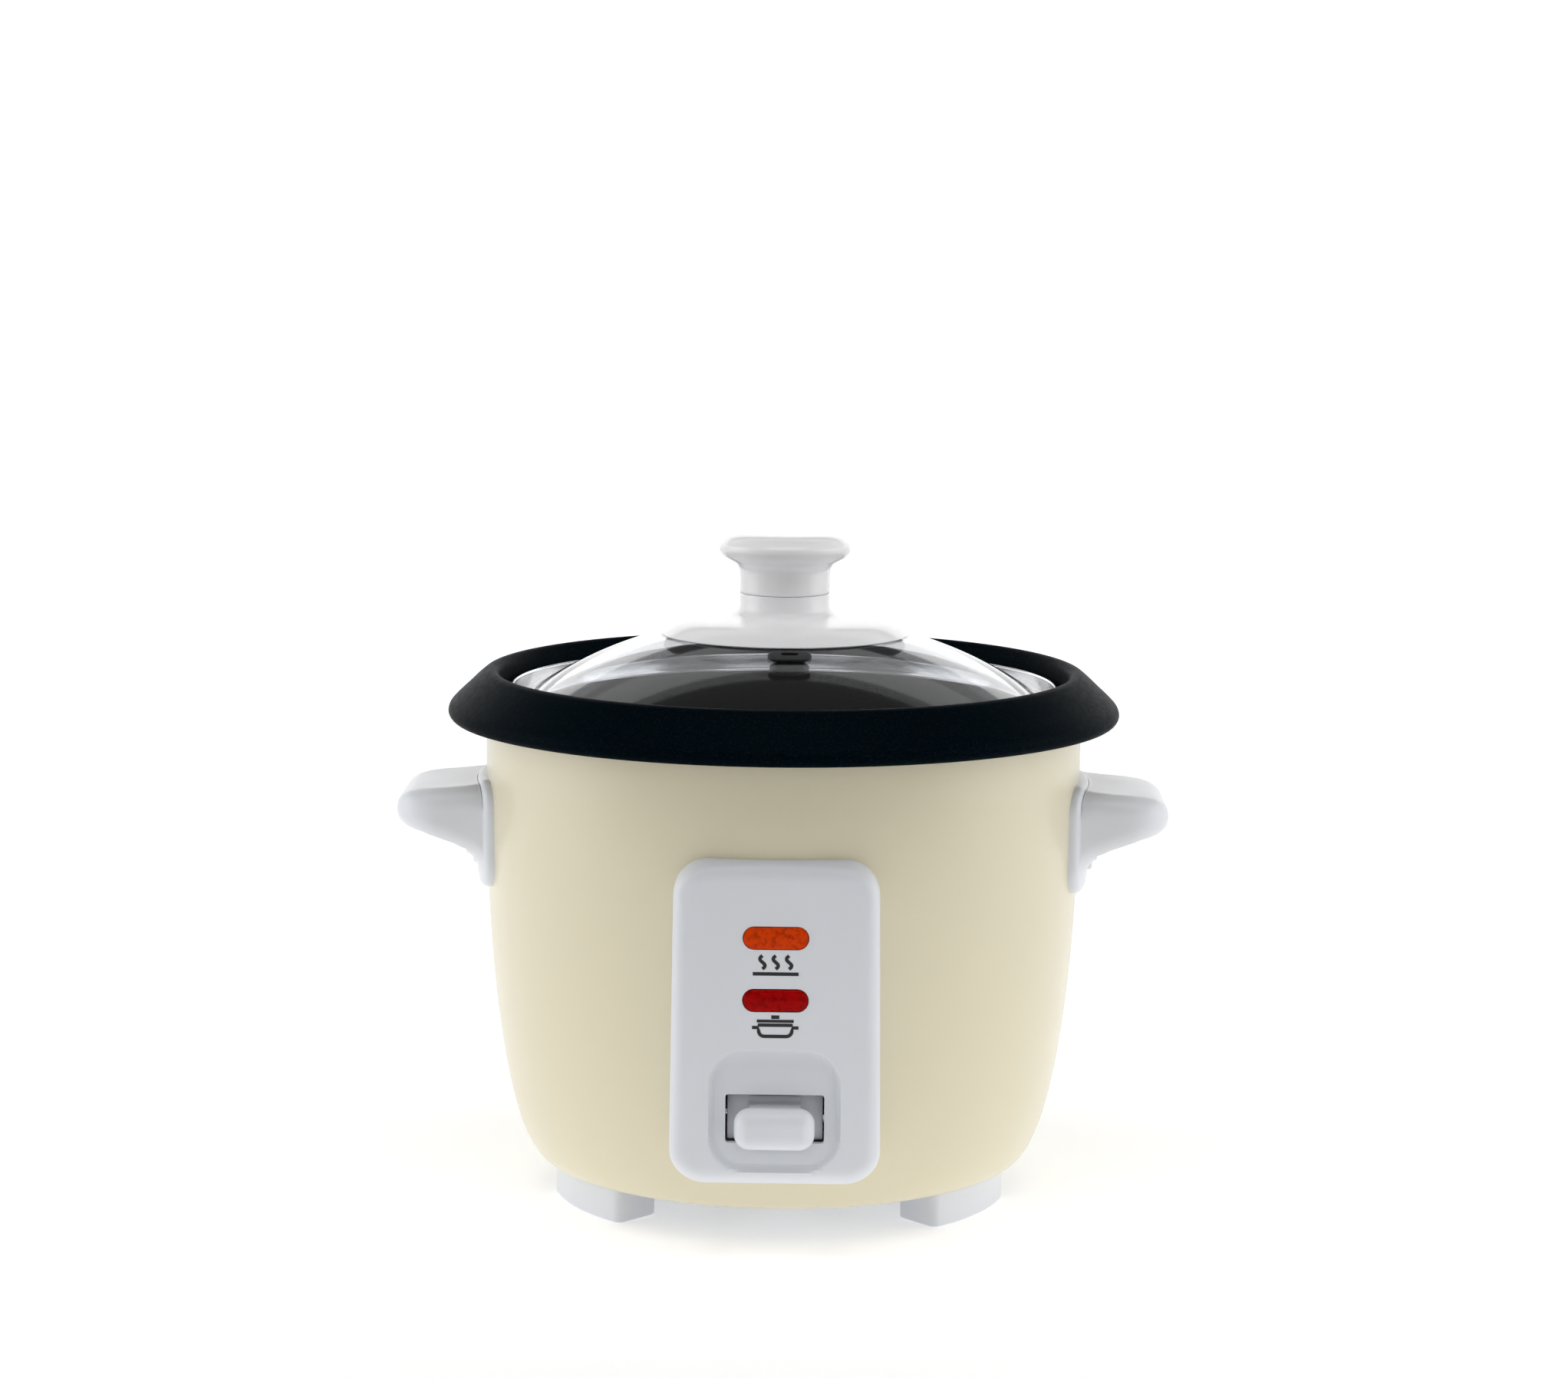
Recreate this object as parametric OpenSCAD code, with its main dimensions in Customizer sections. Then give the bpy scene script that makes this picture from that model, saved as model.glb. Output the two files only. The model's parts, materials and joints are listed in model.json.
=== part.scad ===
// Small rice cooker with a lift-out pan and a glass lid.
// Origin on the body axis in the plane under the feet, +Z up, control panel towards -Y.

/* [Body shell] */
// Largest outer radius of the body
body_r = 85.85; // [85:0.05:86.5]
// Height of the flat bottom above the table
body_base_z = 10.4; // [9:0.1:11]
// Height of the shell's top edge
body_top_z = 147.4; // [146.5:0.1:148]
// Thickness of the shell's sheet
shell_t = 1.0; // [0.8:0.1:1.1]

/* [Pan] */
// Outer radius of the pan's rim
rim_r = 96.85; // [96.5:0.05:97.5]
// Inner radius of the pan's wall
pan_r = 76.8; // [76:0.1:77]
// Thickness of the pan's sheet
pan_t = 1.2; // [1:0.1:1.3]
// Height of the pan's underside
pan_base_z = 57.3; // [57.3:0.05:57.6]

/* [Lid] */
// Radius of the glass dome's outer surface
dome_r = 135; // [133:0.5:138]
// Height of the dome's top
dome_top_z = 167.5; // [167.3:0.1:167.8]
// Thickness of the glass
glass_t = 3; // [2.8:0.1:3.2]
// Outer radius of the steel band
band_r = 79; // [78.8:0.1:79.4]

/* [Knob] */
// Radius of the knob's cap
knob_r = 19.06; // [18.6:0.02:19.6]
// Radius of the knob's foot
knob_foot_r = 35.9; // [35.6:0.1:36]

/* [Control panel] */
// Width of the panel at its top
panel_w = 55.8; // [54:0.1:57]
// Lower edge of the panel
panel_z0 = 22; // [21.5:0.1:23]
// Upper edge of the panel
panel_z1 = 112; // [111:0.5:113]
// Distance of the panel's face from the body axis
panel_y = 90.5; // [90:0.1:91]
// Width of an indicator lens
lens_w = 17.8; // [17:0.1:18.4]
// Height of an indicator lens
lens_h = 6.2; // [5.8:0.1:6.6]

/* [Cook switch] */
// Width of the cook key
key_w = 21.9; // [21:0.1:22.4]
// Distance of the lever's pivot from the body axis
pivot_y = 46; // [45:0.5:47]
// Height of the lever's pivot
pivot_z = 33; // [32.5:0.1:33.5]
// Radius of the pivot pin
pin_r = 1.5; // [1.2:0.1:1.7]

/* [Handles and feet] */
// Reach of the handle tips from the body axis
handle_reach = 111; // [109:0.5:112]
// Width of a handle's grip
handle_w = 47; // [45:0.5:49]
// Outer radius of the ring that the feet lie on
foot_r = 66.5; // [66:0.1:67]
// Angle that one foot spans
foot_span = 36; // [32:1:38]

/* [Hidden] */
$fn = 96;
eps = 0.01;

// body outline: a drum whose lower half closes in along a rounded curve
base_r = 67.3;
belly_z = 114.4;
belly_n = 1.966;
belly_m = 2.126;
belly_floor_z = 10.05;
profile_step = 4;
function body_rad(z) =
    z >= belly_z ? body_r :
    base_r + (body_r - base_r) * pow(1 - pow((belly_z - z) / (belly_z - belly_floor_z), belly_n), 1 / belly_m);
shell_zs = concat(
    [body_base_z, body_base_z + 0.8, body_base_z + 2, body_base_z + 3.6, body_base_z + 6],
    [for (z = [20 : profile_step : 112]) z]);
function body_outline(off) = [for (z = shell_zs) [body_rad(z) - off, z]];

// heights inside the body
cover_t = 1.2;
tray_z = 44;
tray_t = 0.8;
tray_r = 80.1;
plate_z1 = 57;
plate_z0 = 49.5;
plate_r = 68;
plate_hole_r = 17.6;
element_r = 46;
element_tube_r = 3.2;
lid_ledge_z = 141.4;
pan_in_r = 81;
pan_corner = 9;
pan_floor_r = pan_r + pan_t - pan_corner;
pan_crest_in = [84.6, 151.4];
pan_crest_out = [84.2, 152.6];

// dome
dome_z = dome_top_z - dome_r;
glass_edge_r = 77;
glass_edge_z = 142.6;
vent_at = 41.2;
vent_turn = 3;
vent_len = 12.4;
vent_w = 5.6;
vent_stem_len = 8.8;
vent_stem_w = 4;
vent_slot_len = 5;
vent_slot_w = 1.6;
vent_play = 0.15;
vent_tilt = asin(vent_at / dome_r);
lid_screw_r = 2.5;
lid_hole_r = 3.6;
gasket_r = 11;
washer_t = 1.2;
washer_z = dome_top_z - glass_t - 1.3;

// panel
panel_wall = 2.2;
panel_corner = 9.5;
panel_flare = 1;
warm_z = 91.3;
cook_z = 74.15;
window_w = 26.95;
window_z0 = 34.1;
window_z1 = 47.4;
recess_w = 35.1;
recess_z0 = 27.5;
recess_z1 = 60;
recess_d = 3;
panel_boss_x = 20;
panel_boss_zs = [28.2, 106];
screw_head = 2.5;
cutout_w = 34;
cutout_z0 = 33;
cutout_z1 = 100;

// key and lever
key_z0 = 33.3;
key_z1 = 44.6;
key_face_y = 96.6;
key_t = 5.2;
key_dome_r = 30;
key_neck_w = 14;
shroud_w = 26.2;
shroud_r = 38.8;
shroud_z0 = 35;
shroud_z1 = 49;
lever_w = 9;
lever_t = 2.4;
lever_boss_r = 4.6;
lever_front_z = 41.8;
lever_tail_z = 25.2;
running = 0.05;
lever_spring_y = -14;

// temperature sensor stack on the axis
cap_r = 16.2;
sleeve_r = 13;
sleeve_in_r = 12;
sleeve_z0 = 33.4;
ferrite_z0 = 50;
magnet_r = 10.6;
magnet_t = 5;
magnet_travel = 5.8;
magnet_z1 = ferrite_z0 - 0.3 - magnet_travel;
magnet_z0 = magnet_z1 - magnet_t;
rod_r = 1.6;
rod_foot_z = 25.5;
rod_foot_t = 1.4;

// legs and screws
leg_r = 4;
leg_at = 58;
leg_turns = [30, 150, -58, -122];
foot_turns = [-30, -150, 90];
foot_in_r = 51;
foot_screw_at = 59;
handle_screw_zs = [98, 115];
handle_screw_r = 1.6;
handle_top_z = 119.5;
handle_plate_w = 52;

// rear inlet
inlet_z0 = 17.6;
inlet_z1 = 43.6;
inlet_mid_z = 30.6;
inlet_w = 34;
inlet_face_y = 84.5;
inlet_back_y = 62;
inlet_screw_x = 22;
inlet_pins_at = [[-7, 27.6], [7, 27.6], [0, 36.1]];

// ---------- shared shapes ----------

// places the children at an angle and a distance round the axis
module around(turns, at) {
    for (a = turns)
        rotate([0, 0, a])
            translate([at, 0, 0])
                children();
}

// both children, one mirrored to the other side of the YZ plane
module both_sides() {
    children();
    mirror([1, 0, 0])
        children();
}

// a solid ring or disc between two radii
module ring(r_out, r_in, z0, z1) {
    translate([0, 0, z0])
        difference() {
            cylinder(r = r_out, h = z1 - z0);
            translate([0, 0, -1])
                cylinder(r = r_in, h = z1 - z0 + 2);
        }
}

// a cylinder along Y that starts at y and runs towards +Y
module rod_y(x, y, z, r, len) {
    translate([x, y, z])
        rotate([-90, 0, 0])
            cylinder(r = r, h = len, $fn = 32);
}

// a pan-head screw that points along +Z, with its head's top at z = 0
module screw(r, len) {
    translate([0, 0, -eps])
        cylinder(r = r, h = len, $fn = 24);
    difference() {
        translate([0, 0, -r * 1.1])
            cylinder(r = r * 1.9, h = r * 1.1, $fn = 32);
        for (a = [0, 90])
            rotate([0, 0, a])
                translate([-r * 1.2, -r * 0.22, -r * 1.1 - 1])
                    cube([r * 2.4, r * 0.44, 1 + r * 0.5]);
    }
}

// a plate in the XZ plane with rounded corners, from y0 to y1
module rounded_plate(w_top, w_bottom, z0, z1, y0, y1, corner) {
    translate([0, y1, 0])
        rotate([90, 0, 0])
            linear_extrude(y1 - y0)
                union() {
                    polygon([
                        [-w_bottom / 2 + corner, z0], [w_bottom / 2 - corner, z0],
                        [w_bottom / 2, z0 + corner], [w_top / 2, z1 - corner],
                        [w_top / 2 - corner, z1], [-w_top / 2 + corner, z1],
                        [-w_top / 2, z1 - corner], [-w_bottom / 2, z0 + corner]]);
                    for (s = [-1, 1]) {
                        translate([s * (w_bottom / 2 - corner), z0 + corner])
                            circle(r = corner);
                        translate([s * (w_top / 2 - corner), z1 - corner])
                            circle(r = corner);
                    }
                }
}

// a slot with two round ends in the XZ plane, from y0 to y1
module stadium(w, h, z, y0, y1) {
    rounded_plate(w, w, z - h / 2, z + h / 2, y0, y1, h / 2 - eps);
}

// the body's outer volume, grown by a clearance
module body_volume(grow) {
    rotate_extrude()
        polygon(concat(
            [[0, body_base_z - grow]],
            body_outline(-grow),
            [[body_r + grow, body_top_z], [0, body_top_z]]));
}

// the glass dome's volume below a sphere of radius r
module dome_volume(r) {
    translate([0, 0, dome_z])
        sphere(r = r, $fn = 160);
}

// ---------- lid ----------

module lid_vent_place() {
    rotate([0, 0, -90 + vent_turn])
        translate([0, 0, dome_z])
            rotate([0, vent_tilt, 0])
                translate([0, 0, dome_r])
                    children();
}

// an oval block on the dome, longest across the radius
module vent_pill(len, w, z0, z1) {
    rotate([0, 0, 90])
        rotate([90, 0, 0])
            stadium(len, w, 0, z0, z1);
}

module lid_glass() {
    color([0.8, 0.85, 0.87, 0.5])
        difference() {
            intersection() {
                dome_volume(dome_r);
                translate([0, 0, glass_edge_z])
                    cylinder(r = glass_edge_r, h = 40);
            }
            dome_volume(dome_r - glass_t);
            translate([0, 0, 150])
                cylinder(r = lid_hole_r, h = 30);
            lid_vent_place()
                vent_pill(vent_stem_len + 0.2, vent_stem_w + 0.2, -10, 10);
        }
}

module lid_band() {
    color("silver")
        rotate_extrude()
            polygon([
                [glass_edge_r - 5, glass_edge_z], [glass_edge_r - 5, glass_edge_z - 0.8],
                [band_r - 0.6, glass_edge_z - 0.8], [band_r, glass_edge_z - 0.2],
                [band_r, 147.5], [band_r - 0.4, 148.1], [band_r - 1, 148.1],
                [band_r - 1.3, 147.6], [band_r - 1.3, glass_edge_z]]);
}

// lower half of the knob: a stem that opens out into a wide foot on the glass
module knob_base() {
    color("white")
        difference() {
            rotate_extrude()
                polygon([
                    [0, 174.7], [13.1, 174.7], [13.1, 171.4], [13.6, 169.9], [14.6, 168.9], [15.9, 168.45],
                    [19, 168.2], [26.9, 167.4], [30, 166.6], [32.6, 165.6], [34.6, 164.5],
                    [35.6, 163.5], [knob_foot_r, 162.8], [knob_foot_r - 1, 163.15],
                    [32, 164.1], [26, 165.6], [15, 166.8], [12, 167.65], [0, 167.65]]);
            translate([0, 0, 160])
                cylinder(r = lid_screw_r + 0.1, h = 20);
        }
}

// upper half of the knob: a low crown over a disc that narrows into the stem
module knob_cap() {
    color("white")
        difference() {
            rotate_extrude()
                polygon([
                    [0, 192.4], [6, 192.35], [11, 192.15], [13.6, 191.9], [16, 191.3], [17.8, 190.35],
                    [18.7, 189.3], [knob_r, 188.1], [18.75, 186.6], [17.5, 185], [15.5, 184],
                    [13.9, 183.2], [13.2, 182], [13.1, 180], [13.1, 174.8], [0, 174.8]]);
            translate([0, 0, 174])
                cylinder(r = lid_screw_r, h = 11);
        }
}

// height of the glass's underside at a radius
function under_glass(r) = dome_z + sqrt(pow(dome_r - glass_t, 2) - r * r);

module knob_gasket() {
    in_r = lid_screw_r + 0.2;
    color("dimgray")
        rotate_extrude()
            polygon([
                [in_r, washer_z], [gasket_r, washer_z],
                [gasket_r, under_glass(gasket_r) - 0.02], [in_r, under_glass(in_r) - 0.02]]);
}

module knob_washer() {
    color("silver")
        ring(9, lid_screw_r + 0.2, washer_z - washer_t, washer_z);
}

module knob_screw() {
    color("silver")
        translate([0, 0, washer_z - washer_t])
            screw(lid_screw_r, 19);
}

// oval eyelet that grips the glass from both sides
module vent_eyelet() {
    color([0.2, 0.2, 0.2])
        lid_vent_place()
            difference() {
                union() {
                    vent_pill(vent_len, vent_w, vent_play, 1.2);
                    vent_pill(vent_stem_len, vent_stem_w, -glass_t - 1, 0.6);
                    vent_pill(vent_len - 1.4, vent_w, -glass_t - 1.6, -glass_t - vent_play);
                }
                vent_pill(vent_slot_len, vent_slot_w, -10, 10);
            }
}

// ---------- pan ----------

// wall of the pressed pan, from the edge of its floor up to the crest of its rim
module inner_pan() {
    color([0.15, 0.15, 0.16])
        rotate_extrude()
            polygon(concat(
                [for (a = [0 : 15 : 90])
                    [pan_floor_r + pan_corner * sin(a), pan_base_z + pan_corner * (1 - cos(a))]],
                [[pan_r + pan_t, lid_ledge_z - 3], [pan_r + pan_t + 0.6, lid_ledge_z - 1.4],
                 [pan_in_r + 0.9, lid_ledge_z - 0.9], [pan_in_r + 1.2, lid_ledge_z],
                 [pan_in_r + 1.3, 147], [82.7, 149.4], [83.4, 150.9], pan_crest_in,
                 pan_crest_out, [82.6, 151.6], [82, 150],
                 [81.3, 147.2], [pan_in_r, 145], [pan_in_r, lid_ledge_z], [pan_r + 1, lid_ledge_z],
                 [pan_r, lid_ledge_z - 1]],
                [for (a = [90 : -15 : 0])
                    [pan_floor_r + (pan_corner - pan_t) * sin(a),
                     pan_base_z + pan_corner - (pan_corner - pan_t) * cos(a)]]));
}

module pan_floor() {
    color([0.15, 0.15, 0.16])
        translate([0, 0, pan_base_z])
            cylinder(r = pan_floor_r, h = pan_t);
}

// sloping skirt of the rim, outwards from the crest
module pan_rim() {
    color([0.15, 0.15, 0.16])
        rotate_extrude()
            polygon([
                pan_crest_in, [86.6, 150.6],
                [90.4, 146.8], [92.3, 145], [94, 143.4], [95.2, 141.9], [95.5, 140.8], [95.1, 139.9],
                [94.2, 139.4], [94.2, 138.6], [95.9, 138.9], [96.6, 139.7], [rim_r, 140.6],
                [96.55, 142.2], [94.9, 144.2], [93.2, 145.8], [91.3, 147.6],
                [87.5, 151.3], [86, 152.3], pan_crest_out]);
}

// ---------- body ----------

module body_shell() {
    color([0.86, 0.83, 0.76])
        difference() {
            rotate_extrude()
                polygon(concat(
                    body_outline(0),
                    [[body_r, 130], [body_r, body_top_z], [body_r - shell_t, body_top_z],
                     [body_r - shell_t, 116]],
                    [for (i = [len(shell_zs) - 1 : -1 : 1]) [body_rad(shell_zs[i]) - shell_t, shell_zs[i]]],
                    [[body_rad(body_base_z) - shell_t, body_base_z + shell_t],
                     [66.2, body_base_z + shell_t], [66.2, body_base_z]]));
            translate([-cutout_w / 2, -100, cutout_z0])
                cube([cutout_w, 50, cutout_z1 - cutout_z0]);
            translate([-inlet_w / 2 + 1, 50, inlet_z0 + 1])
                cube([inlet_w - 2, 50, inlet_z1 - inlet_z0 - 2]);
            both_sides()
                rod_y(inlet_screw_x, 60, inlet_mid_z, handle_screw_r, 40);
            both_sides()
                for (z = panel_boss_zs)
                    rod_y(panel_boss_x, -100, z, handle_screw_r + 0.1, 50);
            both_sides()
                for (z = handle_screw_zs)
                    translate([70, 0, z])
                        rotate([0, 90, 0])
                            cylinder(r = handle_screw_r + 0.1, h = 30, $fn = 32);
        }
}

module heat_tray() {
    top_z = 86;
    corner = 7;
    in_r = tray_r - tray_t;
    lip_r = body_rad(top_z + 4) - shell_t - 0.05;
    color("lightgray")
        difference() {
            rotate_extrude()
                polygon(concat(
                    [[16.4, tray_z]],
                    [for (a = [0 : 22.5 : 90])
                        [tray_r - corner + corner * sin(a), tray_z + corner - corner * cos(a)]],
                    [[tray_r, top_z], [lip_r, top_z + 4], [lip_r, top_z + 8],
                     [lip_r - tray_t, top_z + 8], [lip_r - tray_t, top_z + 4.4], [in_r, top_z + 0.4]],
                    [for (a = [90 : -22.5 : 0])
                        [tray_r - corner + (corner - tray_t) * sin(a),
                         tray_z + corner - (corner - tray_t) * cos(a)]],
                    [[16.4, tray_z + tray_t]]));
            translate([-20, -100, top_z - 4])
                cube([40, 100 - tray_r, 30]);
            around([90, 210, 330], 30)
                translate([0, 0, tray_z - 1])
                    cylinder(r = 2.1, h = 3, $fn = 32);
            for (s = [-1, 1])
                translate([s * 12, element_r - 1.5, tray_z - 1])
                    cylinder(r = 5, h = 3, $fn = 32);
        }
}

module heating_plate() {
    color([0.62, 0.62, 0.62])
        difference() {
            rotate_extrude()
                polygon([
                    [plate_hole_r, plate_z0 + 1.5], [plate_hole_r, plate_z1 - 0.6],
                    [plate_hole_r + 0.6, plate_z1], [plate_r - 2, plate_z1], [plate_r, plate_z1 - 2],
                    [plate_r, plate_z0 + 3], [element_r + 9, plate_z0 + 1.5],
                    [element_r + 7, plate_z0], [element_r - 7, plate_z0], [element_r - 9, plate_z0 + 1.5]]);
            element_path(element_tube_r);
            around([90, 210, 330], 30)
                translate([0, 0, plate_z0])
                    cylinder(r = 1.5, h = 5, $fn = 32);
        }
}

// an almost closed ring under the plate, with a gap at the back between its two ends
module element_path(r) {
    translate([0, 0, plate_z0])
        rotate([0, 0, 105])
            rotate_extrude(angle = 330)
                translate([element_r, 0])
                    circle(r = r, $fn = 32);
}

module heating_element() {
    color([0.45, 0.45, 0.46]) {
        element_path(element_tube_r);
        for (a = [75, 105])
            rotate([0, 0, a])
                translate([element_r, 0, plate_z0 - 15]) {
                    cylinder(r = 1.6, h = 15, $fn = 24);
                    translate([0, 0, 4])
                        cylinder(r = 2.6, h = 11, $fn = 24);
                }
    }
}

module plate_standoffs() {
    color("silver")
        around([90, 210, 330], 30)
            ring(3.6, 2, tray_z + tray_t, plate_z0 + 1.5);
}

module plate_screws() {
    color("silver")
        around([90, 210, 330], 30)
            translate([0, 0, tray_z])
                screw(1.5, 10);
}

// ---------- temperature sensor ----------

module sensor_cap() {
    color("lightgray")
        rotate_extrude()
            polygon([
                [0, plate_z1], [cap_r - 1.2, plate_z1], [cap_r, plate_z1 - 1.2], [cap_r, 51],
                [cap_r - 0.8, 51], [cap_r - 0.8, plate_z1 - 1.2], [0, plate_z1 - 1.2]]);
}

module sensor_sleeve() {
    color("silver")
        rotate_extrude()
            polygon([
                [rod_r + 0.6, sleeve_z0], [sleeve_r, sleeve_z0], [sleeve_r, plate_z1 - 1.2],
                [sleeve_in_r, plate_z1 - 1.2], [sleeve_in_r, sleeve_z0 + 0.8],
                [rod_r + 0.6, sleeve_z0 + 0.8]]);
}

module sensor_ferrite() {
    color("dimgray")
        translate([0, 0, ferrite_z0])
            cylinder(r = sleeve_in_r, h = plate_z1 - 1.2 - ferrite_z0);
}

// points round a coil spring's wire, for one ring of the sweep
function coil_ring(r, wire, turns, z0, z1, t, sides) =
    let (a = 360 * turns * t, z = z0 + (z1 - z0) * t)
    [for (k = [0 : sides - 1])
        let (b = 360 * k / sides, d = r + wire * cos(b))
        [d * cos(a), d * sin(a), z + wire * sin(b)]];

// an open coil spring about +Z
module coil(r, wire, turns, z0, z1) {
    sides = 8;
    steps = turns * 16;
    polyhedron(
        points = [for (i = [0 : steps]) each coil_ring(r, wire, turns, z0 + wire, z1 - wire, i / steps, sides)],
        faces = concat(
            [[for (k = [0 : sides - 1]) k]],
            [for (i = [0 : steps - 1], k = [0 : sides - 1])
                [i * sides + k, (i + 1) * sides + k, (i + 1) * sides + (k + 1) % sides, i * sides + (k + 1) % sides]],
            [[for (k = [sides - 1 : -1 : 0]) steps * sides + k]]));
}

module sensor_spring() {
    color("gray")
        coil(14.4, 0.5, 4, tray_z + tray_t, plate_z1 - 1.25);
}

module magnet() {
    color("dimgray")
        translate([0, 0, magnet_z0])
            cylinder(r = magnet_r, h = magnet_t);
}

module magnet_rod() {
    color("silver") {
        translate([0, 0, rod_foot_z + rod_foot_t - eps])
            cylinder(r = rod_r, h = magnet_z0 - rod_foot_z - rod_foot_t + eps, $fn = 32);
        rotate_extrude($fn = 48)
            polygon([
                [0, rod_foot_z], [1.5, rod_foot_z + 0.1], [3.6, rod_foot_z + 0.9],
                [3.6, rod_foot_z + rod_foot_t], [0, rod_foot_z + rod_foot_t]]);
    }
}

// ---------- control panel ----------

module panel_block(inset) {
    rounded_plate(
        panel_w - 2 * inset, panel_w + 2 * panel_flare - 2 * inset,
        panel_z0 + inset, panel_z1 - inset, -panel_y + inset, -60, panel_corner - inset);
}

module control_panel() {
    color([0.93, 0.94, 0.96]) {
        difference() {
            panel_shape();
            panel_block(panel_wall);
            panel_recess_outer();
            panel_openings();
            body_volume(0.02);
        }
        difference() {
            panel_recess_wall();
            panel_openings();
            body_volume(0.02);
        }
        difference() {
            intersection() {
                both_sides()
                    for (z = panel_boss_zs)
                        rod_y(panel_boss_x, -panel_y + panel_wall - eps, z, 3.4, 20);
                panel_shape();
            }
            both_sides()
                for (z = panel_boss_zs)
                    rod_y(panel_boss_x, -panel_y + panel_wall + 0.6, z, 1.3, 30);
            body_volume(0.02);
        }
    }
}

// outer form: a slab with a smaller slab in front of it, for the soft front edge
module panel_shape() {
    side = 1.6;
    rounded_plate(
        panel_w, panel_w + 2 * panel_flare, panel_z0, panel_z1, -panel_y + side, -62, panel_corner);
    rounded_plate(
        panel_w - 2 * side, panel_w + 2 * panel_flare - 2 * side, panel_z0 + side, panel_z1 - side,
        -panel_y, -62, panel_corner - side);
}

module panel_recess_outer() {
    rounded_plate(
        recess_w, recess_w, recess_z0, recess_z1, -panel_y - 1, -panel_y + recess_d + 2, panel_corner);
}

module panel_recess_wall() {
    difference() {
        rounded_plate(
            recess_w + 2.4, recess_w + 2.4, recess_z0 - 1.2, recess_z1 + 1.2,
            -panel_y + 1, -panel_y + recess_d + 1.8, panel_corner + 1.2);
        rounded_plate(
            recess_w, recess_w, recess_z0, recess_z1, -panel_y - 1, -panel_y + recess_d, panel_corner);
    }
}

module panel_openings() {
    rounded_plate(window_w, window_w, window_z0, window_z1, -panel_y - 1, -70, 1.5);
    for (z = [warm_z, cook_z])
        stadium(lens_w + 0.1, lens_h + 0.1, z, -panel_y - 1, -panel_y + panel_wall + 1);
}

module panel_screws() {
    color("silver")
        both_sides()
            for (z = panel_boss_zs)
                translate([panel_boss_x, panel_screw_y(z), z])
                    rotate([90, 0, 0])
                        screw(1.3, panel_y - panel_wall - 1.2 + panel_screw_y(z));
}

// where the shell's inner face meets the underside of a panel screw's head
function panel_screw_y(z) =
    0.05 - sqrt(pow(body_rad(z - screw_head) - shell_t, 2) - pow(panel_boss_x + screw_head, 2));

module lens(z) {
    stadium(lens_w, lens_h, z, -panel_y - 0.4, -panel_y + panel_wall + 0.4);
    stadium(lens_w + 2, lens_h + 2, z, -panel_y + panel_wall + 0.02, -panel_y + panel_wall + 1);
}

module warm_lens() {
    color([0.85, 0.3, 0.05])
        lens(warm_z);
}

module cook_lens() {
    color([0.6, 0.02, 0.02])
        lens(cook_z);
}

module lamp_holder() {
    color("ivory")
        difference() {
            translate([-13, -83.4, 66])
                cube([26, 1.4, 34]);
            for (z = [warm_z, cook_z])
                translate([-7, -84, z - 1])
                    cube([2, 3, 2]);
        }
}

module lamp_bulbs() {
    color([0.95, 0.6, 0.3])
        for (z = [warm_z, cook_z])
            translate([-5, -85.4, z])
                rotate([0, 90, 0]) {
                    cylinder(r = 1.9, h = 9, $fn = 32);
                    translate([0, 0, 9])
                        sphere(r = 1.9, $fn = 32);
                }
}

// ---------- cook switch ----------

// pillow-shaped key: a plate with a domed front
module cook_key() {
    color([0.95, 0.95, 0.97]) {
        intersection() {
            rounded_plate(key_w, key_w, key_z0, key_z1, -key_face_y, -key_face_y + key_t, 4);
            translate([0, key_dome_r - key_face_y, (key_z0 + key_z1) / 2])
                sphere(r = key_dome_r, $fn = 120);
        }
        difference() {
            union() {
                translate([-key_neck_w / 2, -key_face_y + key_t - eps, lever_front_z - 2])
                    cube([key_neck_w, key_face_y - key_t - pivot_y - shroud_r + 1, 4]);
                key_shroud();
            }
            translate([-lever_w / 2, -100, lever_front_z - lever_t / 2])
                cube([lever_w, 40, lever_t]);
        }
    }
}

// curved plate about the lever's pivot that closes the window behind the key
module key_shroud() {
    difference() {
        translate([-shroud_w / 2, -pivot_y, pivot_z])
            rotate([0, 90, 0])
                cylinder(r = shroud_r, h = shroud_w, $fn = 160);
        translate([-shroud_w / 2 - 1, -pivot_y, pivot_z])
            rotate([0, 90, 0])
                cylinder(r = shroud_r - 1, h = shroud_w + 2, $fn = 160);
        translate([-50, -pivot_y - 30, -50])
            cube([100, 200, 200]);
        translate([-50, -150, -100])
            cube([100, 200, 100 + shroud_z0]);
        translate([-50, -150, shroud_z1])
            cube([100, 200, 100]);
    }
}

// bent lever: neck through the window, riser, pivot eye and tail under the magnet's rod
module lever_arm() {
    color("silver")
        difference() {
            union() {
                translate([-lever_w / 2, 0, 0])
                    rotate([90, 0, 90])
                        linear_extrude(lever_w)
                            polygon([
                                [-key_face_y + key_t, lever_front_z - lever_t / 2],
                                [-64, lever_front_z - lever_t / 2], [-52, pivot_z - 2.2],
                                [-42, pivot_z - 3], [-20, lever_tail_z - lever_t + 0.6],
                                [1.5, lever_tail_z - lever_t], [2, lever_tail_z - 0.6],
                                [1.5, lever_tail_z], [-10, lever_tail_z], [-20, lever_tail_z + 1.4],
                                [-40, pivot_z + 1], [-50, pivot_z + 2],
                                [-62, lever_front_z + lever_t / 2],
                                [-key_face_y + key_t, lever_front_z + lever_t / 2]]);
                translate([-lever_w / 2, -pivot_y, pivot_z])
                    rotate([0, 90, 0])
                        cylinder(r = lever_boss_r, h = lever_w, $fn = 48);
            }
            translate([-20, -pivot_y, pivot_z])
                rotate([0, 90, 0])
                    cylinder(r = pin_r + running, h = 40, $fn = 48);
        }
}

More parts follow.
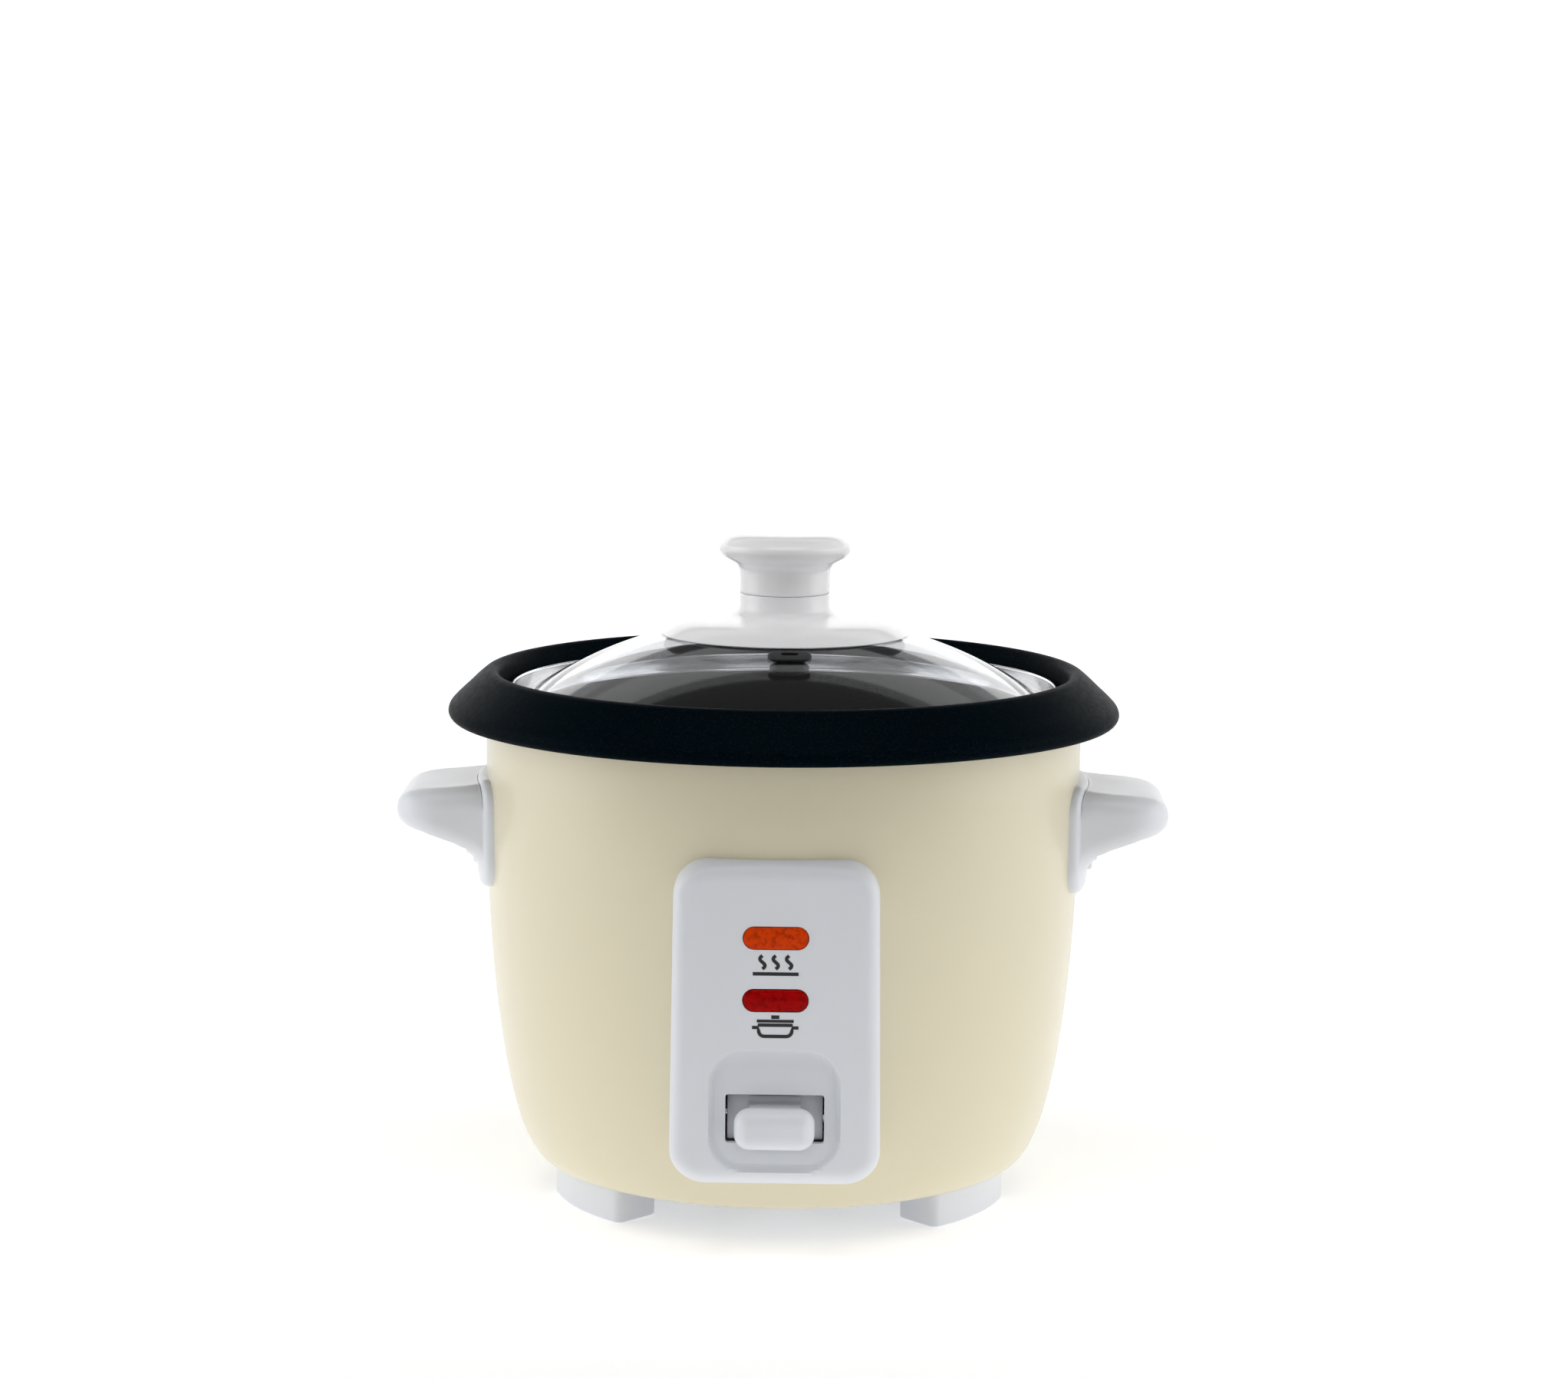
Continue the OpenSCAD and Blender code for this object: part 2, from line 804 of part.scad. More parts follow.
module pivot_pin() {
    color("silver")
        translate([-9.5, -pivot_y, pivot_z])
            rotate([0, 90, 0]) {
                cylinder(r = pin_r, h = 19, $fn = 48);
                cylinder(r = pin_r + 1, h = 1, $fn = 48);
            }
}

module lever_bracket() {
    web_z = tray_z - 1.2;
    color([0.75, 0.75, 0.7])
        difference() {
            union() {
                translate([-8.4, -pivot_y - 6, web_z])
                    cube([16.8, 12, 1.2]);
                both_sides()
                    translate([7.2, -pivot_y - 6, pivot_z - 5])
                        cube([1.2, 12, tray_z - pivot_z + 5]);
            }
            translate([-20, -pivot_y, pivot_z])
                rotate([0, 90, 0])
                    cylinder(r = pin_r, h = 40, $fn = 48);
        }
}

// return spring that pulls the lever's tail down to the base cover
module lever_spring() {
    color("gray")
        translate([0, lever_spring_y, 0])
            coil(2.6, 0.4, 7, body_base_z + cover_t, lever_tail_z - lever_t + 0.1);
}

module switch_block() {
    color([0.35, 0.2, 0.12])
        difference() {
            translate([14, -50, 24])
                cube([12, 30, 9]);
            for (y = [-46, -36, -26])
                translate([20, y, 23])
                    cylinder(r = 1.4, h = 12, $fn = 32);
        }
}

module contact_leaves() {
    color([0.8, 0.6, 0.3])
        for (y = [-46, -36]) {
            translate([10.2, y - 2.5, 33])
                cube([15, 5, 0.5]);
            translate([12, y, 33.5])
                cylinder(r = 1.6, h = 1, $fn = 32);
        }
}

module thermal_fuse() {
    color("tan")
        translate([-30, 8, tray_z - 2.5])
            rotate([90, 0, 0]) {
                cylinder(r = 2.1, h = 12, $fn = 32);
                translate([0, 0, -8])
                    cylinder(r = 0.6, h = 28, $fn = 24);
            }
}

module keep_warm_heater() {
    color([0.75, 0.68, 0.5])
        difference() {
            ring(tray_r + 1.1, tray_r + 0.05, 64, 82);
            translate([0, 60, 60])
                translate([-6, 0, 0])
                    cube([12, 40, 40]);
            translate([-18, -100, 60])
                cube([36, 40, 40]);
        }
}

// ---------- rear inlet ----------

module power_inlet() {
    color([0.12, 0.12, 0.12])
        difference() {
            union() {
                translate([-inlet_w / 2 + 1, inlet_back_y, inlet_z0 + 1])
                    cube([inlet_w - 2, 20, inlet_z1 - inlet_z0 - 2]);
                difference() {
                    rounded_plate(54, 54, inlet_z0 - 3, inlet_z1 + 3, 72, inlet_face_y, 6);
                    body_volume(0.02);
                }
            }
            translate([-inlet_w / 2 + 3.5, inlet_back_y + 3, inlet_z0 + 3.5])
                cube([inlet_w - 7, 40, inlet_z1 - inlet_z0 - 7]);
            both_sides()
                rod_y(inlet_screw_x, 60, inlet_mid_z, 1.5, 40);
            for (p = inlet_pins_at)
                rod_y(p[0], inlet_back_y - 1, p[1], 2, 10);
        }
}

module inlet_pins() {
    color([0.8, 0.75, 0.5])
        for (p = inlet_pins_at) {
            rod_y(p[0], inlet_back_y - 7, p[1], 2, 22);
            translate([p[0] - 2.4, inlet_back_y - 8, p[1] - 0.4])
                cube([4.8, 6, 0.8]);
        }
}

module inlet_screws() {
    color("silver")
        both_sides()
            translate([inlet_screw_x, inlet_face_y, inlet_mid_z])
                rotate([90, 0, 0])
                    screw(1.5, 9);
}

// ---------- handles ----------

// hollow grip with a base plate that follows the body, opening downwards
module handle_right() {
    wall = 2.4;
    color([0.93, 0.94, 0.96])
        difference() {
            union() {
                difference() {
                    intersection() {
                        handle_side(0);
                        handle_plan(0);
                    }
                    intersection() {
                        translate([0, 0, -wall])
                            handle_side(-1);
                        handle_plan(wall);
                    }
                }
                intersection() {
                    rotate([0, 0, 90])
                        rounded_plate(handle_plate_w, handle_plate_w - 4, 91, 122, -100, -70, 8);
                    body_volume(2.8);
                    translate([60, -40, 88])
                        cube([60, 80, 40]);
                }
                intersection() {
                    for (z = handle_screw_zs)
                        translate([70, 0, z])
                            rotate([0, 90, 0])
                                cylinder(r = 4, h = 26, $fn = 32);
                    body_volume(7);
                }
            }
            body_volume(0.02);
            for (z = handle_screw_zs)
                translate([70, 0, z])
                    rotate([0, 90, 0])
                        cylinder(r = 1.3, h = 22, $fn = 32);
        }
}

// side outline of the grip, seen along Y; drop = -1 opens it below
module handle_side(drop) {
    low = drop < 0 ? 20 : 0;
    translate([0, 40, 0])
        rotate([90, 0, 0])
            linear_extrude(80)
                polygon([
                    [80, handle_top_z + 1], [90, handle_top_z + 0.4], [100, handle_top_z - 0.2],
                    [106, handle_top_z - 1], [109.4, handle_top_z - 2.8], [handle_reach, 113.6],
                    [handle_reach, 111 - low], [109, 108.8 - low], [101, 105 - low],
                    [93.5, 102.6 - low], [88.3, 100.5 - low], [80, 99 - low]]);
}

// plan outline of the grip, narrowed by a wall
module handle_plan(wall) {
    corner = 12;
    reach = handle_reach - wall;
    half = handle_w / 2 - wall;
    translate([0, 0, 80])
        linear_extrude(60)
            union() {
                translate([70, -half])
                    square([reach - 70 - corner, 2 * half]);
                translate([70, -half + corner])
                    square([reach - 70, 2 * half - 2 * corner]);
                for (s = [-1, 1])
                    translate([reach - corner, s * (half - corner)])
                        circle(r = corner);
            }
}

module handle_left() {
    mirror([1, 0, 0])
        handle_right();
}

module handle_screws() {
    color("silver")
        both_sides()
            for (z = handle_screw_zs)
                translate([body_rad(z - screw_head) - shell_t - 0.05, 0, z])
                    rotate([0, 90, 0])
                        screw(1.3, 4.6);
}

// ---------- base ----------

module support_legs() {
    color("silver")
        around(leg_turns, leg_at)
            difference() {
                translate([0, 0, body_base_z + cover_t])
                    cylinder(r = leg_r, h = tray_z - body_base_z - cover_t, $fn = 48);
                translate([0, 0, body_base_z])
                    cylinder(r = 1.5, h = 12, $fn = 32);
            }
}

module base_cover() {
    slots = 8;
    color([0.8, 0.8, 0.8])
        difference() {
            union() {
                translate([0, 0, body_base_z])
                    cylinder(r = 66.1, h = cover_t);
                ring(65, 63.6, body_base_z, body_base_z + 4);
                around(foot_turns, foot_screw_at)
                    translate([0, 0, body_base_z])
                        cylinder(r = 3.6, h = 7, $fn = 48);
                translate([0, lever_spring_y, body_base_z])
                    cylinder(r = 1.9, h = 4, $fn = 48);
            }
            around(foot_turns, foot_screw_at)
                translate([0, 0, body_base_z - 1])
                    cylinder(r = 1.5, h = 7, $fn = 32);
            around(leg_turns, leg_at)
                translate([0, 0, body_base_z - 1])
                    cylinder(r = 1.7, h = 4, $fn = 32);
            for (i = [0 : slots - 1], at = [20, 34])
                rotate([0, 0, i * 360 / slots + 22.5])
                    translate([at, 0, body_base_z - 1]) {
                        translate([0, -2, 0])
                            cube([9, 4, 4]);
                        cylinder(r = 2, h = 4, $fn = 32);
                        translate([9, 0, 0])
                            cylinder(r = 2, h = 4, $fn = 32);
                    }
        }
}

module base_screws() {
    color("silver")
        around(leg_turns, leg_at)
            translate([0, 0, body_base_z])
                screw(1.5, 10);
}

// one foot: an arc-shaped block whose screw sits in a deep pocket
module foot(turn) {
    color([0.93, 0.94, 0.96])
        rotate([0, 0, turn])
            difference() {
                rotate([0, 0, -foot_span / 2])
                    rotate_extrude(angle = foot_span)
                        polygon([
                            [foot_in_r, 0.8], [foot_in_r + 0.8, 0], [foot_r - 0.8, 0], [foot_r, 0.8],
                            [foot_r + 0.3, body_base_z], [foot_in_r, body_base_z]]);
                translate([foot_screw_at, 0, -1]) {
                    cylinder(r = 4, h = 8, $fn = 48);
                    cylinder(r = 1.7, h = 20, $fn = 32);
                }
            }
}

module foot_left() {
    foot(foot_turns[1]);
}

module foot_right() {
    foot(foot_turns[0]);
}

module foot_rear() {
    foot(foot_turns[2]);
}

module foot_screws() {
    color("silver")
        around(foot_turns, foot_screw_at)
            translate([0, 0, 7])
                screw(1.5, 8);
}

// ---------- wires ----------

// each wire's corner points, rounded by a spline
wire_routes = [
    [[-7, 54, 27.6], [-9, 50, 24], [-20, 44, 19], [-30, 34, 17], [-34, 22, 22], [-30, 18, 34], [-30, 16, 41.5]],
    [[7, 54, 27.6], [9, 51, 25.5], [13, 47, 24], [13.5, 45, 27], [12, 44.4, 34]],
    [[20, -26, 23.5], [20, -24, 18], [16, -8, 16], [9, 16, 16], [-2, 34, 20], [-11, 43, 28], [-12, 44.4, 34]],
    [[-30, -12, 41.5], [-30, -16, 34], [-26, -30, 22], [-8, -34, 16], [14, -40, 17], [20, -46, 20], [20, -46, 23.5]]];
wire_r = 1;
wire_steps = 4;

// a point on the curve through four neighbours
function spline(a, b, c, d, t) =
    0.5 * (2 * b + (c - a) * t + (2 * a - 5 * b + 4 * c - d) * t * t + (3 * b - a - 3 * c + d) * t * t * t);
function wire_points(route) = concat(
    [for (i = [0 : len(route) - 2], s = [0 : wire_steps - 1])
        spline(
            route[max(i - 1, 0)], route[i], route[i + 1],
            route[min(i + 2, len(route) - 1)], s / wire_steps)],
    [route[len(route) - 1]]);
function unit(v) = v / norm(v);

// a round tube along a list of points
module tube(pts, r) {
    sides = 8;
    n = len(pts);
    ref = [0.13, 0.91, 0.39];
    rings = [for (i = [0 : n - 1])
        let (
            along = unit(pts[min(i + 1, n - 1)] - pts[max(i - 1, 0)]),
            across = unit(cross(along, ref)),
            up = cross(across, along))
        each [for (k = [0 : sides - 1]) pts[i] + r * (cos(360 * k / sides) * across + sin(360 * k / sides) * up)]];
    polyhedron(
        points = rings,
        faces = concat(
            [[for (k = [sides - 1 : -1 : 0]) k]],
            [for (i = [0 : n - 2], k = [0 : sides - 1])
                [i * sides + k, i * sides + (k + 1) % sides, (i + 1) * sides + (k + 1) % sides, (i + 1) * sides + k]],
            [[for (k = [0 : sides - 1]) (n - 1) * sides + k]]));
}

module internal_wires() {
    color([0.3, 0.3, 0.6])
        for (route = wire_routes)
            tube(wire_points(route), wire_r);
}

lid_glass();
lid_band();
knob_cap();
knob_base();
knob_gasket();
knob_washer();
knob_screw();
vent_eyelet();
inner_pan();
pan_floor();
pan_rim();
body_shell();
heat_tray();
heating_plate();
heating_element();
plate_standoffs();
plate_screws();
sensor_cap();
sensor_sleeve();
sensor_ferrite();
sensor_spring();
magnet();
magnet_rod();
control_panel();
panel_screws();
warm_lens();
cook_lens();
lamp_holder();
lamp_bulbs();
cook_key();
lever_arm();
pivot_pin();
lever_bracket();
lever_spring();
switch_block();
contact_leaves();
thermal_fuse();
keep_warm_heater();
power_inlet();
inlet_pins();
inlet_screws();
handle_left();
handle_right();
handle_screws();
support_legs();
base_cover();
base_screws();
foot_left();
foot_right();
foot_rear();
foot_screws();
internal_wires();
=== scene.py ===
"""Looks for a small rice cooker: enamelled drum, white mouldings, black pan and a glass lid."""
import json
import math

import bmesh
import bpy
from mathutils import Matrix, Vector


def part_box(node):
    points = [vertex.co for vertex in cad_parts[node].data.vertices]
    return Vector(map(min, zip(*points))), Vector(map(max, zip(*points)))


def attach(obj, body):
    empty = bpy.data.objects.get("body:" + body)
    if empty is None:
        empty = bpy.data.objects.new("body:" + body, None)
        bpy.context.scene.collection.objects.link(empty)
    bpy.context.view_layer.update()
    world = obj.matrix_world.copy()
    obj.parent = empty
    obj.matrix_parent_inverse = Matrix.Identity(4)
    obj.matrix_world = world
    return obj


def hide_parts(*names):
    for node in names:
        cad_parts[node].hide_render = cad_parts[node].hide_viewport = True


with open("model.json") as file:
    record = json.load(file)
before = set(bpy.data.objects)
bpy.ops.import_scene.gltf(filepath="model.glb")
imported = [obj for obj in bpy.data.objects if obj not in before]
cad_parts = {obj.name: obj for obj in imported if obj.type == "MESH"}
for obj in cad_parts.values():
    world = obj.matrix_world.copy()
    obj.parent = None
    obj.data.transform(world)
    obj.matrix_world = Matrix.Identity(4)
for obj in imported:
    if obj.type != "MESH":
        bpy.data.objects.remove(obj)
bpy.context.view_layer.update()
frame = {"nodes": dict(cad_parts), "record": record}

MM = 0.001
TAU = 2 * math.pi

# ---------- sizes read from the frame, in mm ----------


def span(node):
    """Lowest and highest corners of a CAD node in mm."""
    low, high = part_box(node)
    return low / MM, high / MM


shell_low, shell_high = span("body_shell")
PAN_NODES = [name for name in frame["nodes"] if name in ("inner_pan", "pan_floor", "pan_rim")]
panel_low, panel_high = span("control_panel")
REACH = span("handle_right")[1].x
cap_low, cap_high = span("knob_cap")
stem_low, stem_high = span("knob_base")
band_low, band_high = span("lid_band")
glass_low, glass_high = span("lid_glass")
key_low, key_high = span("cook_key")
vent_low, vent_high = span("vent_eyelet")

BODY_R = shell_high.x
BODY_Z0 = shell_low.z
BODY_Z1 = shell_high.z
RIM_R = max(span(name)[1].x for name in PAN_NODES)
PAN_Z0 = min(span(name)[0].z for name in PAN_NODES)
PANEL_Y = panel_low.y
DOME_R = 135.0
VENT_AT = 41.2
DOME_TOP = glass_high.z + 0.05

# ---------- numbers and curves ----------


def lerp(a, b, t):
    return a + (b - a) * t


def clamp(v, low=0.0, high=1.0):
    return max(low, min(high, v))


def smooth(a, b, v):
    """0 below a, 1 above b, with a soft step between."""
    t = clamp((v - a) / (b - a))
    return t * t * (3 - 2 * t)


def arc(cx, cy, r, start, end, count):
    """Points along an arc, angles in degrees."""
    turns = [math.radians(lerp(start, end, i / count)) for i in range(count + 1)]
    return [(cx + r * math.cos(a), cy + r * math.sin(a)) for a in turns]


def spline(points, per=6):
    """A smooth curve through the points."""
    ends = [points[0]] + list(points) + [points[-1]]
    out = []
    for a, b, c, d in zip(ends, ends[1:], ends[2:], ends[3:]):
        for k in range(per):
            t = k / per
            out.append(tuple(
                0.5 * (2 * q + (r - p) * t + (2 * p - 5 * q + 4 * r - s) * t * t
                       + (3 * q - p - 3 * r + s) * t ** 3)
                for p, q, r, s in zip(a, b, c, d)))
    out.append(tuple(points[-1]))
    return out


def body_radius(z):
    """Outer radius of the body at a height: straight above the belly, then a rounded curve inwards."""
    belly_z, floor_z, base_r = 114.4, 10.05, 67.3
    if z >= belly_z:
        return BODY_R
    u = clamp((belly_z - z) / (belly_z - floor_z))
    return base_r + (BODY_R - base_r) * (1 - u ** 1.966) ** (1 / 2.126)


# ---------- mesh builders ----------


def new_object(name, verts, faces, soft=True):
    """A mesh object from points in mm, with its faces turned outwards."""
    mesh = bpy.data.meshes.new(name)
    mesh.from_pydata([(x * MM, y * MM, z * MM) for x, y, z in verts], [], faces)
    work = bmesh.new()
    work.from_mesh(mesh)
    bmesh.ops.remove_doubles(work, verts=work.verts, dist=1e-7)
    bmesh.ops.recalc_face_normals(work, faces=work.faces)
    work.to_mesh(mesh)
    work.free()
    for p in mesh.polygons:
        p.use_smooth = soft
    obj = bpy.data.objects.new(name, mesh)
    bpy.context.scene.collection.objects.link(obj)
    return obj


def lathe(name, outline, steps=256, closed=True, sweep=None):
    """Turns an outline of (radius, height) about Z. sweep is (start, end) in degrees for a part turn."""
    start, end = [math.radians(a) for a in (sweep or (0, 360))]
    turns = steps + (1 if sweep else 0)
    n = len(outline)
    verts = []
    for i in range(turns):
        a = lerp(start, end, i / steps)
        verts += [(r * math.cos(a), r * math.sin(a), z) for r, z in outline]
    faces = []
    for i in range(steps):
        j = (i + 1) % turns
        for k in range(n if closed else n - 1):
            m = (k + 1) % n
            quad = [i * n + k, j * n + k, j * n + m, i * n + m]
            if outline[k][0] < 1e-6:
                quad.pop(1)
            elif outline[m][0] < 1e-6:
                quad.pop(2)
            if outline[k][0] > 1e-6 or outline[m][0] > 1e-6:
                faces.append(quad)
    if sweep:
        faces += [list(range(n)), list(range((turns - 1) * n, turns * n))]
    return new_object(name, verts, faces)


def loft(name, rings, cap_start=True, cap_end=True, soft=True):
    """A skin over closed rings that have the same number of points."""
    n = len(rings[0])
    verts = [p for ring in rings for p in ring]
    faces = [
        [i * n + k, i * n + (k + 1) % n, (i + 1) * n + (k + 1) % n, (i + 1) * n + k]
        for i in range(len(rings) - 1) for k in range(n)]
    if cap_start:
        faces.append(list(range(n)))
    if cap_end:
        faces.append(list(range((len(rings) - 1) * n, len(rings) * n)))
    return new_object(name, verts, faces, soft)


def half_outline(a, b, c, counts):
    """Right half of a rounded rectangle, from bottom centre to top centre."""
    n_end, n_corner, n_side = counts
    c = max(min(c, a - 1e-3, b - 1e-3), 1e-3)
    low = [((a - c) * i / n_end, -b) for i in range(n_end)]
    turn = arc(a - c, -b + c, c, -90, 0, n_corner)[:-1]
    side = [(a, lerp(-b + c, b - c, i / n_side)) for i in range(n_side)]
    high_turn = arc(a - c, b - c, c, 0, 90, n_corner)[:-1]
    top = [((a - c) * (1 - i / n_end), b) for i in range(n_end + 1)]
    return low + turn + side + high_turn + top


def inside(u, v, a, b, c):
    """Distance from a point to the edge of a rounded rectangle, positive inside it."""
    qx, qy = abs(u) - (a - c), abs(v) - (b - c)
    return -(math.hypot(max(qx, 0), max(qy, 0)) + min(max(qx, qy), 0) - c)


def rounded_drop(d, r):
    """How far a surface falls away at distance d from its rounded edge."""
    return r - math.sqrt(max(r * r - (r - d) ** 2, 0)) if d < r else 0.0


def pad(name, a, b, c, place, insets, skirts=(), counts=(14, 10, 40), close_back=False):
    """A soft-edged plate.

    place(u, v, level) gives a point in mm: a level of 0 or more is a skirt step and -1 is the face.
    """
    halves = [(half_outline(a, b, c, counts), level) for level in reversed(range(len(skirts)))]
    for d in insets:
        corner = max(c - d, 0.3 * (a - d), 1e-3)
        halves.append((half_outline(a - d, b - d, corner, counts), -1))
    rings = []
    for half, level in halves:
        ring = half + [(-u, v) for u, v in reversed(half[1:-1])]
        rings.append([place(u, v, level) for u, v in ring])
    n, m = len(rings[0]), len(halves[0][0])
    verts = [p for ring in rings for p in ring]
    faces = [
        [i * n + k, i * n + (k + 1) % n, (i + 1) * n + (k + 1) % n, (i + 1) * n + k]
        for i in range(len(rings) - 1) for k in range(n)]
    last = (len(rings) - 1) * n
    for k in range(m - 1):
        pair = [last + k, last + k + 1, last + (n - k - 1) % n, last + (n - k) % n]
        faces.append(list(dict.fromkeys(pair)))
    if close_back:
        faces.append(list(range(n)))
    return new_object(name, verts, faces)


def bake(obj):
    """Applies the object's modifiers."""
    graph = bpy.context.evaluated_depsgraph_get()
    graph.update()
    mesh = bpy.data.meshes.new_from_object(obj.evaluated_get(graph))
    obj.modifiers.clear()
    obj.data = mesh
    return obj


def thicken(obj, thickness, offset=-1.0):
    m = obj.modifiers.new("thick", "SOLIDIFY")
    m.thickness = thickness * MM
    m.offset = offset
    m.use_even_offset = False
    return bake(obj)


def carve(obj, *cutters, operation="DIFFERENCE"):
    """Cuts other objects out of this one, or joins them to it, and removes them."""
    for tool in cutters:
        m = obj.modifiers.new("cut", "BOOLEAN")
        m.operation = operation
        m.solver = "EXACT"
        m.object = tool
    bake(obj)
    for tool in cutters:
        bpy.data.objects.remove(tool)
    return obj


def bevel(obj, width, segments=3, angle=30):
    m = obj.modifiers.new("bevel", "BEVEL")
    m.width = width * MM
    m.segments = segments
    m.limit_method = "ANGLE"
    m.angle_limit = math.radians(angle)
    m.harden_normals = False
    return bake(obj)


def crease(obj, angle=35):
    """Smooth shading with sharp edges where faces meet at more than an angle."""
    obj.data.polygons.foreach_set("use_smooth", [True] * len(obj.data.polygons))
    obj.data.set_sharp_from_angle(angle=math.radians(angle))
    return obj


def join(name, *objs):
    """One object from several."""
    work = bmesh.new()
    for o in objs:
        o.data.transform(o.matrix_world)
        work.from_mesh(o.data)
    mesh = bpy.data.meshes.new(name)
    work.to_mesh(mesh)
    work.free()
    out = bpy.data.objects.new(name, mesh)
    bpy.context.scene.collection.objects.link(out)
    for o in objs:
        bpy.data.objects.remove(o)
    return out


def prism(name, outline, x0, x1):
    """An outline of (y, z) points pushed along X."""
    return loft(name, [[(x, y, z) for y, z in outline] for x in (x0, x1)], soft=False)


def slab(name, a, b, c, y0, y1, z_mid, x_mid=0.0):
    """A rounded rectangle in XZ, from y0 to y1."""
    half = half_outline(a, b, c, (2, 12, 2))
    ring = half + [(-u, v) for u, v in reversed(half[1:-1])]
    return loft(name, [[(x_mid + u, y, z_mid + v) for u, v in ring] for y in (y0, y1)], soft=False)


def rod(name, start, end, r, steps=32):
    """A cylinder between two points in mm."""
    a, b = Vector(start), Vector(end)
    along = (b - a).normalized()
    side = along.orthogonal().normalized()
    up = along.cross(side)
    turn = [(math.cos(TAU * k / steps), math.sin(TAU * k / steps)) for k in range(steps)]
    rings = [[tuple(p + r * (c * side + s * up)) for c, s in turn] for p in (a, b)]
    return loft(name, rings, soft=False)


# ---------- materials ----------


class Shader:
    """A principled material with a few procedural layers."""

    def __init__(self, name, colour, roughness, **sockets):
        self.mat = bpy.data.materials.new(name)
        self.mat.use_nodes = True
        self.tree = self.mat.node_tree
        self.main = self.tree.nodes["Principled BSDF"]
        self.main.inputs["Base Color"].default_value = (*colour, 1)
        self.main.inputs["Roughness"].default_value = roughness
        for key, value in sockets.items():
            self.main.inputs[key.replace("_", " ")].default_value = value
        self.colour = colour
        self.coords = self.add("ShaderNodeTexCoord").outputs["Object"]

    def add(self, kind, **values):
        node = self.tree.nodes.new(kind)
        for key, value in values.items():
            setattr(node, key, value)
        return node

    def link(self, a, b):
        self.tree.links.new(a, b)

    def noise(self, scale, detail=3.0, rough=0.5, stretch=None):
        node = self.add("ShaderNodeTexNoise")
        node.inputs["Scale"].default_value = scale
        node.inputs["Detail"].default_value = detail
        node.inputs["Roughness"].default_value = rough
        source = self.coords
        if stretch:
            mapping = self.add("ShaderNodeMapping")
            mapping.inputs["Scale"].default_value = stretch
            self.link(source, mapping.inputs["Vector"])
            source = mapping.outputs["Vector"]
        self.link(source, node.inputs["Vector"])
        return node.outputs["Fac"]

    def ranged(self, value, low, high, out_low, out_high):
        node = self.add("ShaderNodeMapRange")
        for key, v in (("From Min", low), ("From Max", high), ("To Min", out_low), ("To Max", out_high)):
            node.inputs[key].default_value = v
        self.link(value, node.inputs["Value"])
        return node.outputs["Result"]

    def tint(self, value, low_colour, high_colour, low=0.35, high=0.65):
        """Colour that wanders between two shades."""
        ramp = self.add("ShaderNodeValToRGB")
        ramp.color_ramp.elements[0].position = low
        ramp.color_ramp.elements[0].color = (*low_colour, 1)
        ramp.color_ramp.elements[1].position = high
        ramp.color_ramp.elements[1].color = (*high_colour, 1)
        self.link(value, ramp.inputs["Fac"])
        self.link(ramp.outputs["Color"], self.main.inputs["Base Color"])
        return self

    def rough(self, value, low, high):
        self.link(self.ranged(value, 0.3, 0.7, low, high), self.main.inputs["Roughness"])
        return self

    def bump(self, value, strength, distance_mm):
        node = self.add("ShaderNodeBump")
        node.inputs["Strength"].default_value = strength
        node.inputs["Distance"].default_value = distance_mm * MM
        self.link(value, node.inputs["Height"])
        previous = self.main.inputs["Normal"]
        if previous.is_linked:
            self.link(previous.links[0].from_socket, node.inputs["Normal"])
        self.link(node.outputs["Normal"], self.main.inputs["Normal"])
        return self


def shade(colour, factor):
    return tuple(clamp(c * factor) for c in colour)


def enamel():
    base = (0.76, 0.70, 0.51)
    s = Shader("enamel", base, 0.3, Coat_Weight=0.35, Coat_Roughness=0.12, Specular_IOR_Level=0.5)
    s.tint(s.noise(14, 4), shade(base, 0.99), shade(base, 1.01))
    s.rough(s.noise(40, 3), 0.29, 0.35)
    s.bump(s.noise(1300, 2), 0.05, 0.02)
    return s.mat


def white_plastic():
    base = (0.755, 0.775, 0.815)
    s = Shader("white_plastic", base, 0.3, Specular_IOR_Level=0.38, Coat_Weight=0.06, Coat_Roughness=0.1)
    s.tint(s.noise(25, 3), shade(base, 0.985), shade(base, 1.01))
    s.rough(s.noise(90, 3), 0.29, 0.37)
    s.bump(s.noise(1500, 2), 0.04, 0.02)
    return s.mat


def knob_plastic():
    base = (0.93, 0.93, 0.94)
    s = Shader("knob_plastic", base, 0.16, Specular_IOR_Level=0.45, Coat_Weight=0.15, Coat_Roughness=0.05)
    s.tint(s.noise(25, 3), shade(base, 0.99), shade(base, 1.01))
    s.rough(s.noise(60, 3), 0.13, 0.2)
    s.bump(s.noise(700, 2), 0.03, 0.02)
    return s.mat


def nonstick():
    base = (0.0008, 0.0032, 0.0052)
    s = Shader("nonstick", base, 0.42, IOR=1.2, Specular_IOR_Level=0.06)
    s.main.inputs["Specular Tint"].default_value = (0.5, 0.8, 1.0, 1)
    s.tint(s.noise(1800, 2, 0.6), shade(base, 0.8), shade(base, 3.0), 0.5, 0.74)
    s.rough(s.noise(600, 3), 0.38, 0.48)
    s.bump(s.noise(1500, 2), 0.2, 0.03)
    return s.mat


def chrome():
    base = (0.80, 0.81, 0.82)
    s = Shader("lid_steel", base, 0.14, Metallic=1.0)
    s.tint(s.noise(30, 2), shade(base, 0.95), shade(base, 1.05))
    s.rough(s.noise(300, 3, 0.5, (1, 1, 12)), 0.1, 0.2)
    s.bump(s.noise(900, 2, 0.5, (0.3, 0.3, 8)), 0.04, 0.02)
    return s.mat


